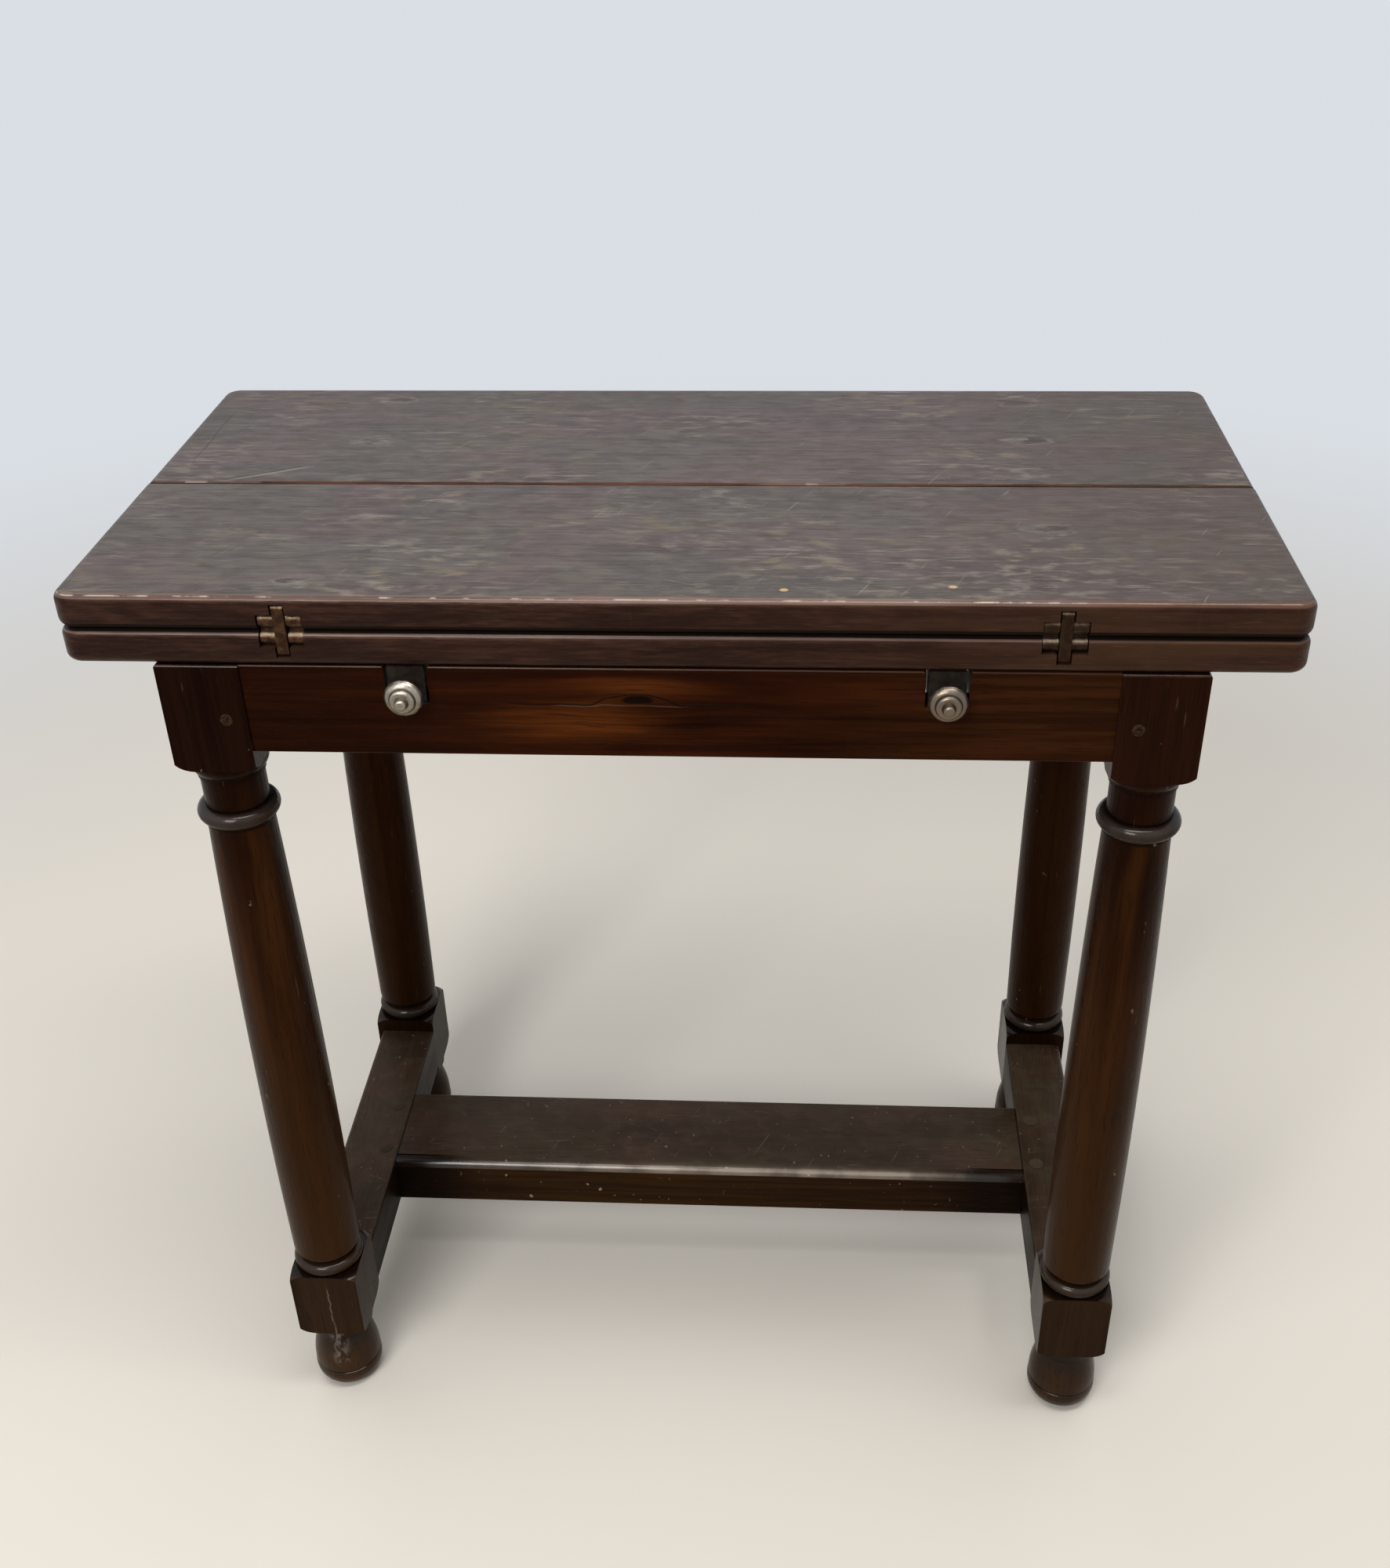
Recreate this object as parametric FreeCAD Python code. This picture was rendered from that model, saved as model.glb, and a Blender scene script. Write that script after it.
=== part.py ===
import FreeCAD, Part
import math
import os

# A fold-over table: a turned oak frame, a fixed top and two flaps that lie folded on it,
# carried when open by pull-out lopers. The front is towards -Y, the floor is z = 0 and the
# frame is centred on the Z axis. Lengths are in millimetres, angles in degrees.

Vector = FreeCAD.Vector
ORIGIN = Vector(0, 0, 0)
ACROSS = Vector(1, 0, 0)
BACK = Vector(0, 1, 0)
UP = Vector(0, 0, 1)
TURN = 360

# Frame, and how far it stands in or out under the fixed top
frame_height = 719.0
top_length = 803.0
top_depth = 397.0
top_end_overhang = 60.0
top_front_setback = 0.4
top_rear_overhang = 6.8
leg_square = 56.0

# Leg: square blocks where rails and stretchers enter, turned between and below
upper_block_height = 81.5
lower_block_height = 69.0
lower_block_bottom = 72.0
pommel_rise = 8.0
pommel_margin = 1.0
block_top_round = 2.0
foot_radius = 28.2
foot_line_height = 21.0
foot_line_depth = 1.5
base_ring_radius = 28.6
base_ring_height = 11.0
base_groove_radius = 23.2
base_groove_height = 4.5
column_foot_radius = 27.2
column_foot_round = 5.0
column_belly_radius = 28.1
column_neck_radius = 23.5
collar_height = 12.0
collar_radius = 28.9
collar_fillet_radius = 24.7
collar_fillet_height = 2.5
neck_radius = 22.4
neck_height = 24.0
neck_fillet_radius = 23.5
neck_fillet_height = 3.5
ovolo_radius = 27.0
ovolo_height = 10.0

# Outline of the foot: radius as a share of foot_radius, height as a share of the foot's height
foot_seat_share = 0.70
foot_toe_shares = (0.935, 0.095)
foot_belly_shares = (1.0, 0.27)
foot_shoulder_shares = (0.945, 0.53)
foot_neck_shares = (0.77, 0.76)
foot_cove_shares = (0.75, 0.82)
foot_lip_shares = (0.80, 0.87)
foot_listel_share = 0.93

# Height of the column's swelling, as a share of the column's length from its lower end
column_belly_share = 0.29

# Rails, tenoned into the upper blocks
rail_height = 66.0
rail_thickness = 22.0
rail_setback = 1.5
rail_edge_round = 1.6
notch_mouth_round = 3.0
tenon_length = 27.5
tenon_thickness = 10.0
tenon_shoulder_below = 8.0
tenon_shoulder_above = 12.0
mortise_gap = 0.2

# Draw-bore pegs
peg_radius = 4.3
peg_length = 40.0
peg_proud = 1.3
peg_dome = 1.0
peg_gap = 0.05
peg_from_shoulder = 14.0
front_peg_drop = 40.5
side_peg_drop = 28.5

# Stretchers, an H between the lower blocks
stretcher_top = 127.0
stretcher_height = 47.0
side_stretcher_width = 52.0
stretcher_edge_round = 4.0
stretcher_tenon_thickness = 16.0
stretcher_tenon_height = 30.0
medial_width = 92.0
medial_setback = 2.5
medial_nosing_round = 8.5
medial_edge_round = 2.5
medial_tenon_width = 76.0
medial_tenon_height = 18.0
medial_tenon_length = 34.0
medial_peg_radius = 6.4
medial_peg_spacing = 56.0
medial_peg_from_shoulder = 12.5
quirk_width = 1.8
quirk_depth = 3.0
quirk_run = 58.0

# Fixed top and flaps
top_thickness = 24.6
flap_rest_gap = 0.4
flap_open_gap = 0.2
rear_flap_shortening = 1.0
flap_joint_offset = -7.7
flap_joint_gap = 1.2
flap_joint_round = 3.0
flap_joint_corner_round = 5.5
corner_round = 13.0
top_peg_radius = 4.5
top_peg_bite = 30.0

# Link hinges: a bar with two pins that swings in slots across both edges
hinge_from_end = 151.2
hinge_pair_offset = -3.0
pin_inset = 6.2
pin_radius = 2.0
pin_running_gap = 0.05
pin_press_gap = 0.01
link_width = 7.6
link_thickness = 11.2
link_length = 36.0
link_end_round = 3.0
link_side_gap = 0.4
link_slot_gap = 0.7
knuckle_radius = 4.6
knuckle_width = 9.8
recess_gap = 0.6
plate_length = 40.0
plate_thickness = 2.6
plate_sink = 0.05
plate_edge_gap = 0.2
screw_head_radius = 3.4
screw_head_height = 2.2
screw_radius = 1.7
screw_length = 15.0
screw_gap = 0.05
screw_slot_width = 0.9
screw_slot_depth = 0.8
screw_spread = 9.0
screw_front_row = 25.5
screw_rear_row = 34.0

# Lopers: bars that draw out under an open flap, side by side, two to the front and two to the rear
loper_width = 24.5
loper_height = 26.0
loper_tail_gap = 21.8
loper_setback = 0.8
loper_edge_round = 1.5
loper_side_gap = 1.8
loper_floor_gap = 0.3
loper_top_gap = 0.3
loper_from_leg = 109.9
loper_pair_spacing = 36.0
bearer_thickness = 22.0
bearer_height = 46.0
bearer_housing = 8.0
stop_radius = 4.0
stop_drop = 12.0
stop_gap = 0.4

# Turned brass knob on each loper
knob_radius = 12.9
knob_reach = 24.0
knob_drop = 3.7
knob_spigot_radius = 3.0
knob_spigot_length = 18.0
knob_gap = 0.05

# Outline of the knob from the loper outwards: radius share of knob_radius, reach share of knob_reach
knob_foot_share = 0.40
knob_stem_shares = (0.35, 0.14)
knob_stem_top_shares = (0.37, 0.28)
knob_back_shares = (0.55, 0.39)
knob_rim_back_shares = (0.95, 0.43)
knob_rim_shares = (1.0, 0.49)
knob_rim_front_shares = (0.97, 0.55)
knob_crown_shares = (0.86, 0.64)
knob_face_shares = (0.68, 0.68)
knob_ring_shares = (0.645, 0.755)
knob_ring_front_shares = (0.54, 0.80)
knob_dish_shares = (0.36, 0.805)
knob_button_shares = (0.30, 0.92)
knob_button_round_shares = (0.26, 0.98)
knob_button_face_shares = (0.18, 1.0)

# One length by which every cutting shape runs past the face it cuts
overrun = 2.0


def box(x0, x1, y0, y1, z0, z1):
    """Block between two corners."""
    return Part.makeBox(x1 - x0, y1 - y0, z1 - z0, Vector(x0, y0, z0))


def rod(start, axis, length, radius):
    """Round bar from a point along an axis."""
    return Part.makeCylinder(radius, length, start, axis)


def mirrored(shape, across_x, across_y):
    """Copy of a shape on the other side of the table's middle planes."""
    if across_x:
        shape = shape.mirror(ORIGIN, ACROSS)
    if across_y:
        shape = shape.mirror(ORIGIN, BACK)
    return shape


def rounded_outline(corners, radii):
    """Closed wire through corners, each one eased by an arc of its own radius."""
    stretches = []
    for index, corner in enumerate(corners):
        before = (corners[index - 1] - corner).normalize()
        after = (corners[(index + 1) % len(corners)] - corner).normalize()
        half = before.getAngle(after) / 2
        middle = (before + after).normalize()
        radius = radii[index]
        reach = radius / math.tan(half)
        top = corner + middle * (radius / math.sin(half) - radius)
        stretches.append((corner + before * reach, top, corner + after * reach))
    edges = []
    for index, (start, top, end) in enumerate(stretches):
        if radii[index] > 0:
            edges.append(Part.Arc(start, top, end).toShape())
        edges.append(Part.LineSegment(end, stretches[(index + 1) % len(stretches)][0]).toShape())
    return Part.Wire(edges)


def bar_along_x(x0, x1, y0, y1, z0, z1, front_low, rear_low, rear_high, front_high):
    """Bar along X whose four long edges are rounded, each to its own radius."""
    corners = [Vector(x0, y0, z0), Vector(x0, y1, z0), Vector(x0, y1, z1), Vector(x0, y0, z1)]
    outline = rounded_outline(corners, (front_low, rear_low, rear_high, front_high))
    return Part.Face(outline).extrude(ACROSS * (x1 - x0))


def bar_along_y(x0, x1, y0, y1, z0, z1, left_low, right_low, right_high, left_high):
    """Bar along Y whose four long edges are rounded, each to its own radius."""
    corners = [Vector(x0, y0, z0), Vector(x1, y0, z0), Vector(x1, y0, z1), Vector(x0, y0, z1)]
    outline = rounded_outline(corners, (left_low, right_low, right_high, left_high))
    return Part.Face(outline).extrude(BACK * (y1 - y0))


def turned(points):
    """Solid of revolution about Z: each step is an end point, or a middle and an end of an arc."""
    edges = []
    start = points[0]
    for step in points[1:]:
        end = step[-1]
        a = Vector(start[0], 0, start[1])
        b = Vector(end[0], 0, end[1])
        if len(step) > 1:
            middle = Vector(step[0][0], 0, step[0][1])
            edges.append(Part.Arc(a, middle, b).toShape())
        else:
            edges.append(Part.LineSegment(a, b).toShape())
        start = end
    edges.append(Part.LineSegment(b, Vector(points[0][0], 0, points[0][1])).toShape())
    return Part.Face(Part.Wire(edges)).revolve(ORIGIN, UP, TURN)


def quarter_round(start, end):
    """Middle of a quarter round that leaves start level and reaches end upright."""
    turn = math.radians(TURN / 8)
    out = (end[0] - start[0]) * math.sin(turn)
    rise = (end[1] - start[1]) * (1 - math.cos(turn))
    return (start[0] + out, start[1] + rise)


def export(node, *solids):
    """Writes one node, a single solid or a group of them."""
    shape = solids[0] if len(solids) == 1 else Part.makeCompound(solids)
    shape.exportStep("parts/" + node + ".step")


# Places worked out from the driving dimensions
half_square = leg_square / 2
leg_x = top_length / 2 - top_end_overhang - half_square
leg_y = (top_depth + top_front_setback - top_rear_overhang) / 2 - half_square
upper_block_bottom = frame_height - upper_block_height
lower_block_top = lower_block_bottom + lower_block_height
frame_front = -leg_y - half_square
frame_left = -leg_x - half_square
rail_bottom = frame_height - rail_height
rail_front = frame_front + rail_setback
rail_inside = rail_front + rail_thickness
side_rail_outside = frame_left + rail_setback
side_rail_inside = side_rail_outside + rail_thickness
shoulder_x = -leg_x + half_square
shoulder_y = -leg_y + half_square
stretcher_bottom = stretcher_top - stretcher_height
stretcher_middle_z = stretcher_bottom + stretcher_height / 2
side_stretcher_inside = shoulder_x
side_stretcher_outside = side_stretcher_inside - side_stretcher_width
side_stretcher_middle = (side_stretcher_inside + side_stretcher_outside) / 2
medial_front = medial_setback - medial_width / 2
medial_rear = medial_setback + medial_width / 2
top_front = frame_front + top_front_setback
top_rear = top_front + top_depth
flap_joint_y = (top_front + top_rear) / 2 + flap_joint_offset
top_face = frame_height + top_thickness
flap_face = top_face + flap_rest_gap
flap_thickness = top_thickness - flap_open_gap
flap_top = flap_face + flap_thickness
loper_top = frame_height - loper_top_gap
loper_bottom = loper_top - loper_height
notch_floor = loper_bottom - loper_floor_gap
notch_half_width = loper_width / 2 + loper_side_gap
loper_front = rail_front + loper_setback
loper_length = -rail_inside - loper_tail_gap - loper_front
loper_x = -shoulder_x - loper_from_leg
bearer_front = -bearer_thickness / 2
stop_y = bearer_front - stop_gap - stop_radius
loper_travel = stop_y - stop_radius - stop_gap - rail_inside
rear_loper_x = loper_x - loper_pair_spacing
corners = {
    "front_left": (False, False),
    "front_right": (True, False),
    "rear_left": (False, True),
    "rear_right": (True, True),
}


def rail_tenon(grow):
    """Tenon of the front rail in the front left block, or with grow its mortise."""
    middle = rail_front + rail_thickness / 2
    half = tenon_thickness / 2 + grow
    low = rail_bottom + tenon_shoulder_below - grow
    high = frame_height - tenon_shoulder_above + grow
    return box(shoulder_x - tenon_length - grow, shoulder_x, middle - half, middle + half, low, high)


def side_rail_tenon(grow):
    """Tenon of the left side rail in the front left block, or with grow its mortise."""
    middle = side_rail_outside + rail_thickness / 2
    half = tenon_thickness / 2 + grow
    low = rail_bottom + tenon_shoulder_below - grow
    high = frame_height - tenon_shoulder_above + grow
    return box(middle - half, middle + half, shoulder_y - tenon_length - grow, shoulder_y, low, high)


def stretcher_tenon(grow):
    """Tenon of the left side stretcher in the front left block, or with grow its mortise."""
    half = stretcher_tenon_thickness / 2 + grow
    rise = stretcher_tenon_height / 2 + grow
    low = stretcher_middle_z - rise
    high = stretcher_middle_z + rise
    front = shoulder_y - tenon_length - grow
    return box(side_stretcher_middle - half, side_stretcher_middle + half, front, shoulder_y, low, high)


def medial_tenon(grow):
    """Tenon of the medial stretcher in the left side stretcher, or with grow its mortise."""
    half = medial_tenon_width / 2 + grow
    rise = medial_tenon_height / 2 + grow
    left = side_stretcher_inside - medial_tenon_length - grow
    low = stretcher_middle_z - rise
    high = stretcher_middle_z + rise
    return box(left, side_stretcher_inside, medial_setback - half, medial_setback + half, low, high)


def peg(start, axis, radius, grow):
    """Draw-bore peg with a domed head, or with grow the plain hole it is driven into."""
    length = peg_proud + peg_length
    if grow:
        return rod(start, axis, length + grow, radius + grow)
    dome_radius = (radius**2 + peg_dome**2) / (2 * peg_dome)
    ball = Part.makeSphere(dome_radius, start + axis * dome_radius)
    head = rod(start, axis, peg_dome, radius).common(ball)
    shank = rod(start + axis * peg_dome, axis, length - peg_dome, radius)
    return head.fuse(shank).removeSplitter()


def corner_pegs(grow):
    """Pegs of the front left leg: front rail, side rail and side stretcher, or with grow their holes."""
    front = Vector(shoulder_x - peg_from_shoulder, frame_front - peg_proud, frame_height - front_peg_drop)
    side = Vector(frame_left - peg_proud, shoulder_y - peg_from_shoulder, frame_height - side_peg_drop)
    low = Vector(frame_left - peg_proud, shoulder_y - peg_from_shoulder, stretcher_middle_z)
    places = ((front, BACK), (side, ACROSS), (low, ACROSS))
    return [peg(start, axis, peg_radius, grow) for start, axis in places]


def medial_pegs(grow):
    """Two upright pegs that hold the medial stretcher in the left side stretcher, or their holes."""
    x = side_stretcher_inside - medial_peg_from_shoulder
    pegs = []
    for side in (-1, 1):
        y = medial_setback + side * medial_peg_spacing / 2
        pegs.append(peg(Vector(x, y, stretcher_top + peg_proud), -UP, medial_peg_radius, grow))
    return pegs


def top_peg(grow):
    """Peg through the fixed top into the front left leg, or with grow its hole."""
    length = top_thickness + top_peg_bite + grow
    return rod(Vector(-leg_x, -leg_y, top_face), -UP, length, top_peg_radius + grow)


def block(low, high, eased_above):
    """Square block of a leg, its corners turned away towards the round parts."""
    corner_radius = half_square * math.sqrt(2) + pommel_margin
    flat_radius = half_square + pommel_margin
    low_start = (flat_radius, low)
    low_end = (corner_radius, low + pommel_rise)
    outline = [(0, low), (low_start,), (quarter_round(low_start, low_end), low_end)]
    if eased_above:
        high_start = (flat_radius, high)
        high_end = (corner_radius, high - pommel_rise)
        outline += [(high_end,), (quarter_round(high_start, high_end), high_start)]
    else:
        outline += [((corner_radius, high),)]
    outline += [((0, high),)]
    square = box(-half_square, half_square, -half_square, half_square, low, high)
    return square.common(turned(outline))


def foot_point(shares):
    """Point on the foot's outline from its shares of radius and height."""
    return (foot_radius * shares[0], lower_block_bottom * shares[1])


def leg():
    """Leg at the front left: foot, block, ringed column with a swelling shaft, neck and block."""
    ring_top = lower_block_top + base_ring_height
    ring_root = base_ring_radius - base_ring_height / 2
    groove_top = ring_top + base_groove_height
    ovolo_bottom = upper_block_bottom - ovolo_height
    collar_top = ovolo_bottom - neck_fillet_height - neck_height
    collar_bottom = collar_top - collar_height
    collar_root = collar_radius - collar_height / 2
    column_start = (column_foot_radius, groove_top + column_foot_round)
    column_end = (column_neck_radius, collar_bottom - collar_fillet_height)
    belly_height = column_start[1] + (column_end[1] - column_start[1]) * column_belly_share
    ovolo_start = (neck_fillet_radius, ovolo_bottom)
    ovolo_end = (ovolo_radius, upper_block_bottom)
    listel = foot_radius * foot_listel_share
    block_middle = upper_block_bottom + upper_block_height / 2
    outline = [
        (0, 0),
        ((foot_radius * foot_seat_share, 0),),
        (foot_point(foot_toe_shares), foot_point(foot_belly_shares)),
        (foot_point(foot_shoulder_shares), foot_point(foot_neck_shares)),
        (foot_point(foot_cove_shares), foot_point(foot_lip_shares)),
        ((listel, foot_point(foot_lip_shares)[1]),),
        ((listel, lower_block_top),),
        ((ring_root, lower_block_top),),
        ((base_ring_radius, lower_block_top + base_ring_height / 2), (ring_root, ring_top)),
        ((base_groove_radius, ring_top),),
        ((base_groove_radius, groove_top),),
        (quarter_round((base_groove_radius, groove_top), column_start), column_start),
        ((column_belly_radius, belly_height), column_end),
        ((collar_fillet_radius, column_end[1]),),
        ((collar_fillet_radius, collar_bottom),),
        ((collar_root, collar_bottom),),
        ((collar_radius, collar_bottom + collar_height / 2), (collar_root, collar_top)),
        ((neck_radius, collar_top),),
        ((neck_radius, ovolo_bottom - neck_fillet_height),),
        ((neck_fillet_radius, ovolo_bottom - neck_fillet_height),),
        (ovolo_start,),
        (quarter_round(ovolo_start, ovolo_end), ovolo_end),
        ((ovolo_radius, block_middle),),
        ((0, block_middle),),
    ]
    shaft = turned(outline)
    line_low = (foot_radius + foot_line_depth, foot_line_height - foot_line_depth)
    line_high = (foot_radius + foot_line_depth, foot_line_height + foot_line_depth)
    scribed_line = turned([line_low, ((foot_radius - foot_line_depth, foot_line_height),), (line_high,)])
    shaft = shaft.cut(scribed_line)
    upper = block(upper_block_bottom, frame_height, False)
    sides = (-half_square, half_square) * 2
    span = (*sides, upper_block_bottom, frame_height)
    upper = upper.common(bar_along_x(*span, 0, 0, 0, block_top_round))
    upper = upper.common(bar_along_y(*span, 0, 0, 0, block_top_round))
    lower = block(lower_block_bottom, lower_block_top, True)
    solid = shaft.fuse([upper, lower]).removeSplitter()
    solid = solid.translated(Vector(-leg_x, -leg_y, 0))
    mortises = [rail_tenon(mortise_gap), side_rail_tenon(mortise_gap), stretcher_tenon(mortise_gap)]
    return solid.cut(mortises + corner_pegs(peg_gap) + [top_peg(peg_gap)]).Solids[0]


def loper_notches(places, y0, y1):
    """Openings for lopers, cut down from the top of a rail or the bearer."""
    notches = []
    for x in places:
        left = x - notch_half_width
        right = x + notch_half_width
        notches.append(box(left, right, y0 - overrun, y1 + overrun, notch_floor, frame_height + overrun))
    return notches


def notch_mouth(edge, way):
    """What rounds the rail's top corner beside a notch; way is the side of the notch the corner is on."""
    soft = notch_mouth_round
    left, right = sorted((edge - way * overrun, edge + way * soft))
    span = (rail_front - overrun, rail_inside + overrun)
    corner = box(left, right, *span, frame_height - soft, frame_height + overrun)
    start = Vector(edge + way * soft, span[0], frame_height - soft)
    return corner.cut(rod(start, BACK, span[1] - span[0], soft))


def long_rail(loper_places):
    """Front rail with its two tenons and the notches its lopers run in."""
    soft = rail_edge_round
    ends = (shoulder_x, -shoulder_x)
    rail = bar_along_x(*ends, rail_front, rail_inside, rail_bottom, frame_height, soft, 0, 0, soft)
    tenons = [rail_tenon(0), mirrored(rail_tenon(0), True, False)]
    holes = corner_pegs(peg_gap) + [mirrored(hole, True, False) for hole in corner_pegs(peg_gap)]
    notches = loper_notches(loper_places, rail_front, rail_inside)
    for x in loper_places:
        notches += [notch_mouth(x + way * notch_half_width, way) for way in (-1, 1)]
    return rail.fuse(tenons).removeSplitter().cut(holes + notches).Solids[0]


def side_rail():
    """Left side rail with its two tenons and the housing that the bearer drops into."""
    soft = rail_edge_round
    faces = (side_rail_outside, side_rail_inside)
    rail = bar_along_y(*faces, shoulder_y, -shoulder_y, rail_bottom, frame_height, soft, 0, 0, soft)
    tenons = [side_rail_tenon(0), mirrored(side_rail_tenon(0), False, True)]
    holes = corner_pegs(peg_gap) + [mirrored(hole, False, True) for hole in corner_pegs(peg_gap)]
    left = side_rail_inside - bearer_housing - mortise_gap
    front = bearer_front - mortise_gap
    low_face = frame_height - bearer_height
    housing = box(left, side_rail_inside + overrun, front, -front, low_face, frame_height + overrun)
    return rail.fuse(tenons).removeSplitter().cut(holes + [housing]).Solids[0]


def bearer():
    """Cross bearer at mid depth that carries the tails of all four lopers."""
    left = side_rail_inside - bearer_housing
    low = frame_height - bearer_height
    bar = box(left, -left, bearer_front, -bearer_front, low, frame_height)
    places = [-loper_x, -rear_loper_x, rear_loper_x, loper_x]
    return bar.cut(loper_notches(places, bearer_front, -bearer_front)).Solids[0]


def side_stretcher():
    """Left side stretcher, its outer top edge rounded, tenoned into both lower blocks."""
    soft = rail_edge_round
    faces = (side_stretcher_outside, side_stretcher_inside)
    span = (shoulder_y, -shoulder_y, stretcher_bottom, stretcher_top)
    bar = bar_along_y(*faces, *span, soft, soft, soft, stretcher_edge_round)
    tenons = [stretcher_tenon(0), mirrored(stretcher_tenon(0), False, True)]
    holes = corner_pegs(peg_gap) + [mirrored(hole, False, True) for hole in corner_pegs(peg_gap)]
    bar = bar.fuse(tenons).removeSplitter()
    return bar.cut([medial_tenon(mortise_gap)] + holes + medial_pegs(peg_gap)).Solids[0]


def medial_stretcher():
    """Wide flat foot board of the H, with a bead on its front edge whose quirk runs out from both ends."""
    left = side_stretcher_inside
    soft = medial_edge_round
    span = (left, -left, medial_front, medial_rear, stretcher_bottom, stretcher_top)
    board = bar_along_x(*span, soft, soft, soft, medial_nosing_round)
    tenons = [medial_tenon(0), mirrored(medial_tenon(0), True, False)]
    holes = medial_pegs(peg_gap) + [mirrored(hole, True, False) for hole in medial_pegs(peg_gap)]
    bead = medial_front + medial_nosing_round
    floor = stretcher_top - quirk_depth
    mouth = [Vector(left - overrun, bead, floor), Vector(left - overrun, bead + quirk_width, floor)]
    wedge = Part.makePolygon(mouth + [Vector(left + quirk_run, bead + quirk_width, floor), mouth[0]])
    quirk = Part.Face(wedge).extrude(UP * (quirk_depth + overrun))
    quirks = [quirk, mirrored(quirk, True, False)]
    return board.fuse(tenons).removeSplitter().cut(quirks + holes).Solids[0]


def leaf(half_length, y0, y1, z0, z1):
    """Board of the top, rounded in plan at its corners and along every edge as far in as the pins lie."""
    left = -half_length
    right = half_length
    plan = [Vector(left, y0, z0), Vector(right, y0, z0), Vector(right, y1, z0), Vector(left, y1, z0)]
    outline = rounded_outline(plan, [corner_round] * len(plan))
    thickness = z1 - z0
    board = Part.Face(outline).extrude(UP * thickness)
    level_edges = [edge for edge in board.Edges if edge.BoundBox.ZLength < thickness / 2]
    return board.makeFillet(pin_inset, level_edges)


# The hinge is drawn once, for the front edge of the fixed top: x = 0 is its middle, y runs inwards
# from the edge and z = 0 is the top's upper face.
link_half_slot = link_width / 2 + link_side_gap
hinge_half_width = link_half_slot + knuckle_width
pin_spacing = 2 * pin_inset + flap_rest_gap
link_overhang = (link_length - pin_spacing) / 2
link_corner = math.hypot(link_overhang - link_end_round, link_thickness / 2 - link_end_round)
link_swing_reach = link_corner + link_end_round
pocket_depth = pin_inset + max(link_swing_reach, link_overhang) + link_slot_gap
screw_places = [(-screw_spread, screw_front_row), (screw_spread, screw_front_row), (0, screw_rear_row)]


def hinge_pin(radius):
    """Pin through both knuckles and the link."""
    return rod(Vector(-hinge_half_width, pin_inset, -pin_inset), ACROSS, 2 * hinge_half_width, radius)


def hinge_screws(grow):
    """Countersunk screws of one hinge plate, or with grow their holes."""
    screws = []
    top = -plate_sink
    for x, y in screw_places:
        head = Part.makeCone(
            screw_head_radius + grow, screw_radius + grow, screw_head_height, Vector(x, y, top), -UP
        )
        shank = rod(Vector(x, y, top), -UP, screw_length + grow, screw_radius + grow)
        screw = head.fuse(shank).removeSplitter()
        if not grow:
            half_slot = screw_slot_width / 2
            ends = (x - screw_head_radius - overrun, x + screw_head_radius + overrun)
            slot = box(*ends, y - half_slot, y + half_slot, top - screw_slot_depth, top + overrun)
            screw = screw.cut(slot).Solids[0]
        screws.append(screw)
    return screws


def hinge_plate():
    """Forked brass plate let into a leaf, with a knuckle at the end of each prong."""
    plate = box(-hinge_half_width, hinge_half_width, pin_inset, plate_length, -plate_thickness, -plate_sink)
    lug_back = pin_inset + knuckle_radius
    lug = box(-hinge_half_width, hinge_half_width, pin_inset, lug_back, -pin_inset, -plate_sink)
    barrel = hinge_pin(knuckle_radius)
    slot = box(-link_half_slot, link_half_slot, -overrun, pocket_depth, -pocket_depth, overrun)
    solid = plate.fuse([lug, barrel]).removeSplitter()
    bore = hinge_pin(pin_radius + pin_press_gap)
    return solid.cut([slot, bore] + hinge_screws(screw_gap)).Solids[0]


def hinge_link():
    """Link bar as it stands in the closed table, across both leaves."""
    middle = flap_rest_gap / 2
    y0 = pin_inset - link_thickness / 2
    y1 = pin_inset + link_thickness / 2
    z0 = middle - link_length / 2
    z1 = middle + link_length / 2
    soft = link_end_round
    bar = bar_along_x(-link_width / 2, link_width / 2, y0, y1, z0, z1, soft, soft, soft, soft)
    low_bore = hinge_pin(pin_radius + pin_running_gap)
    high_bore = low_bore.translated(UP * pin_spacing)
    return bar.cut([low_bore, high_bore]).Solids[0]


def hinge_seat():
    """What is cut from a leaf for one hinge: link slot, knuckle recess, plate recess and screw holes."""
    slot_half = link_half_slot + recess_gap
    wide = hinge_half_width + recess_gap
    reach = pin_inset + knuckle_radius + recess_gap
    snug = hinge_half_width + plate_edge_gap
    slot = box(-slot_half, slot_half, -overrun, pocket_depth, -pocket_depth, overrun)
    recess = box(-wide, wide, -overrun, reach, -reach, overrun)
    bed = box(-snug, snug, pin_inset, plate_length + plate_edge_gap, -plate_thickness, overrun)
    return [slot, recess, bed] + hinge_screws(screw_gap)


def placed(shape, hinge, on_flap):
    """Hinge piece moved from the drawing position to its leaf and edge."""
    side, x = hinge
    if on_flap:
        shape = shape.mirror(ORIGIN, UP)
    if side == "rear":
        shape = shape.mirror(ORIGIN, BACK)
    edge = top_rear if side == "rear" else top_front
    return shape.translated(Vector(x, edge, flap_face if on_flap else top_face))


hinges = {}
for side in ("front", "rear"):
    hinges[side + "_left"] = (side, hinge_pair_offset - top_length / 2 + hinge_from_end)
    hinges[side + "_right"] = (side, hinge_pair_offset + top_length / 2 - hinge_from_end)


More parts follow.
